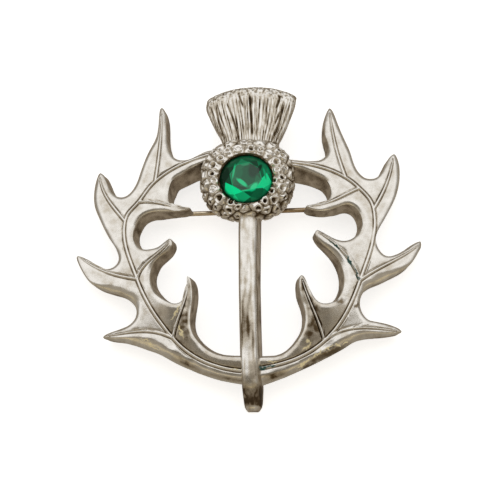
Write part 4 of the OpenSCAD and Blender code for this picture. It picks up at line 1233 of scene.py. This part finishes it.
def dress(name, material):
    piece = frame["nodes"][name]
    piece.data.materials.clear()
    piece.data.materials.append(material)


wire = pinWire()
dress("pin_stem", wire)
dress("hinge_rivet", wire)
print("stone and pin finished")

# Floor and light

lightLook = {
    "level": 0.93,
    "bright": (1.0, 0.985, 0.96),
    "side": (0.35, 0.33, 0.30),
    "dark": (0.21, 0.185, 0.145),
    "front": (0.36, 0.32, 0.26),   # lower down on the side of the stem's end
    "ground": (0.36, 0.31, 0.25),
    "edge": 4.0,           # degrees from straight up toward the tuft where the bright side starts
    "softness": 3.0,
    "lean": 0.14,          # how much of the sides stays bright beyond that
    "glow": (0.72, 0.6, 0.38),
    "glowFrom": 46, "glowTo": 58,  # degrees from straight up, away from the tuft
    "glowSoft": (1.3, 0.5),        # where it starts and is full, as parts of its half width
    # each of these fades in between two heights, with 1 straight up and 0 level
    "aboveAt": (-0.05, 0.12), "brightAt": (0.12, 0.5), "frontAt": (0.97, 0.75), "groundAt": (-0.05, -0.45),
}
floorLook = {"half": 1500, "tone": 0.9, "roughness": 0.9, "glow": 0.72}


def makeWorld():
    look = lightLook
    world = bpy.data.worlds.new("studio")
    bpy.context.scene.world = world
    world.use_nodes = True
    tree = world.node_tree
    direction = node(tree, "TexCoord").outputs["Generated"]
    x, y, z = node(tree, "SeparateXYZ", {"Vector": direction}).outputs
    leaned = mathNode(tree, "MULTIPLY_ADD", mathNode(tree, "ABSOLUTE", x), look["lean"], y)
    angle = mathNode(tree, "ARCTAN2", leaned, z)
    start, stop = radians(look["edge"] - look["softness"]), radians(look["edge"] + look["softness"])
    bright = mapped(tree, angle, start, stop, smooth=True)
    above, low, front, ground = [mapped(tree, z, *look[key], smooth=True)
                                 for key in ("aboveAt", "brightAt", "frontAt", "groundAt")]
    middle = -radians(look["glowFrom"] + look["glowTo"]) / 2
    half = radians(look["glowTo"] - look["glowFrom"]) / 2
    off = mathNode(tree, "ABSOLUTE", mathNode(tree, "SUBTRACT", angle, middle))
    strip = mapped(tree, off, *[part * half for part in look["glowSoft"]], smooth=True)
    upper = blend(tree, low, (*look["side"], 1), (*look["bright"], 1), "RGBA")
    lower = (*look["dark"], 1)
    for share, key in ((front, "front"), (strip, "glow"), (ground, "ground")):
        lower = blend(tree, share, lower, (*look[key], 1), "RGBA")
    colour = blend(tree, mathNode(tree, "MULTIPLY", bright, above), lower, upper, "RGBA")
    background = tree.nodes["Background"]
    tree.links.new(colour, background.inputs["Color"])
    background.inputs["Strength"].default_value = look["level"]


def makeFloor():
    material, _, shader = newMaterial("paleFloor")
    shader.inputs["Base Color"].default_value = (*[floorLook["tone"]] * 3, 1)
    shader.inputs["Roughness"].default_value = floorLook["roughness"]
    shader.inputs["Emission Color"].default_value = (1, 1, 1, 1)
    shader.inputs["Emission Strength"].default_value = floorLook["glow"]
    mesh = bpy.data.meshes.new("floor")
    half = floorLook["half"] * mm
    corners = [(-half, -half, 0), (half, -half, 0), (half, half, 0), (-half, half, 0)]
    mesh.from_pydata(corners, [], [(0, 1, 2, 3)])
    mesh.materials.append(material)
    floor = bpy.data.objects.new("floor", mesh)
    floor.visible_glossy = False
    floor.visible_transmission = False
    bpy.context.scene.collection.objects.link(floor)


makeWorld()
makeFloor()
bpy.context.scene.view_settings.view_transform = "Standard"
print("floor and light set")
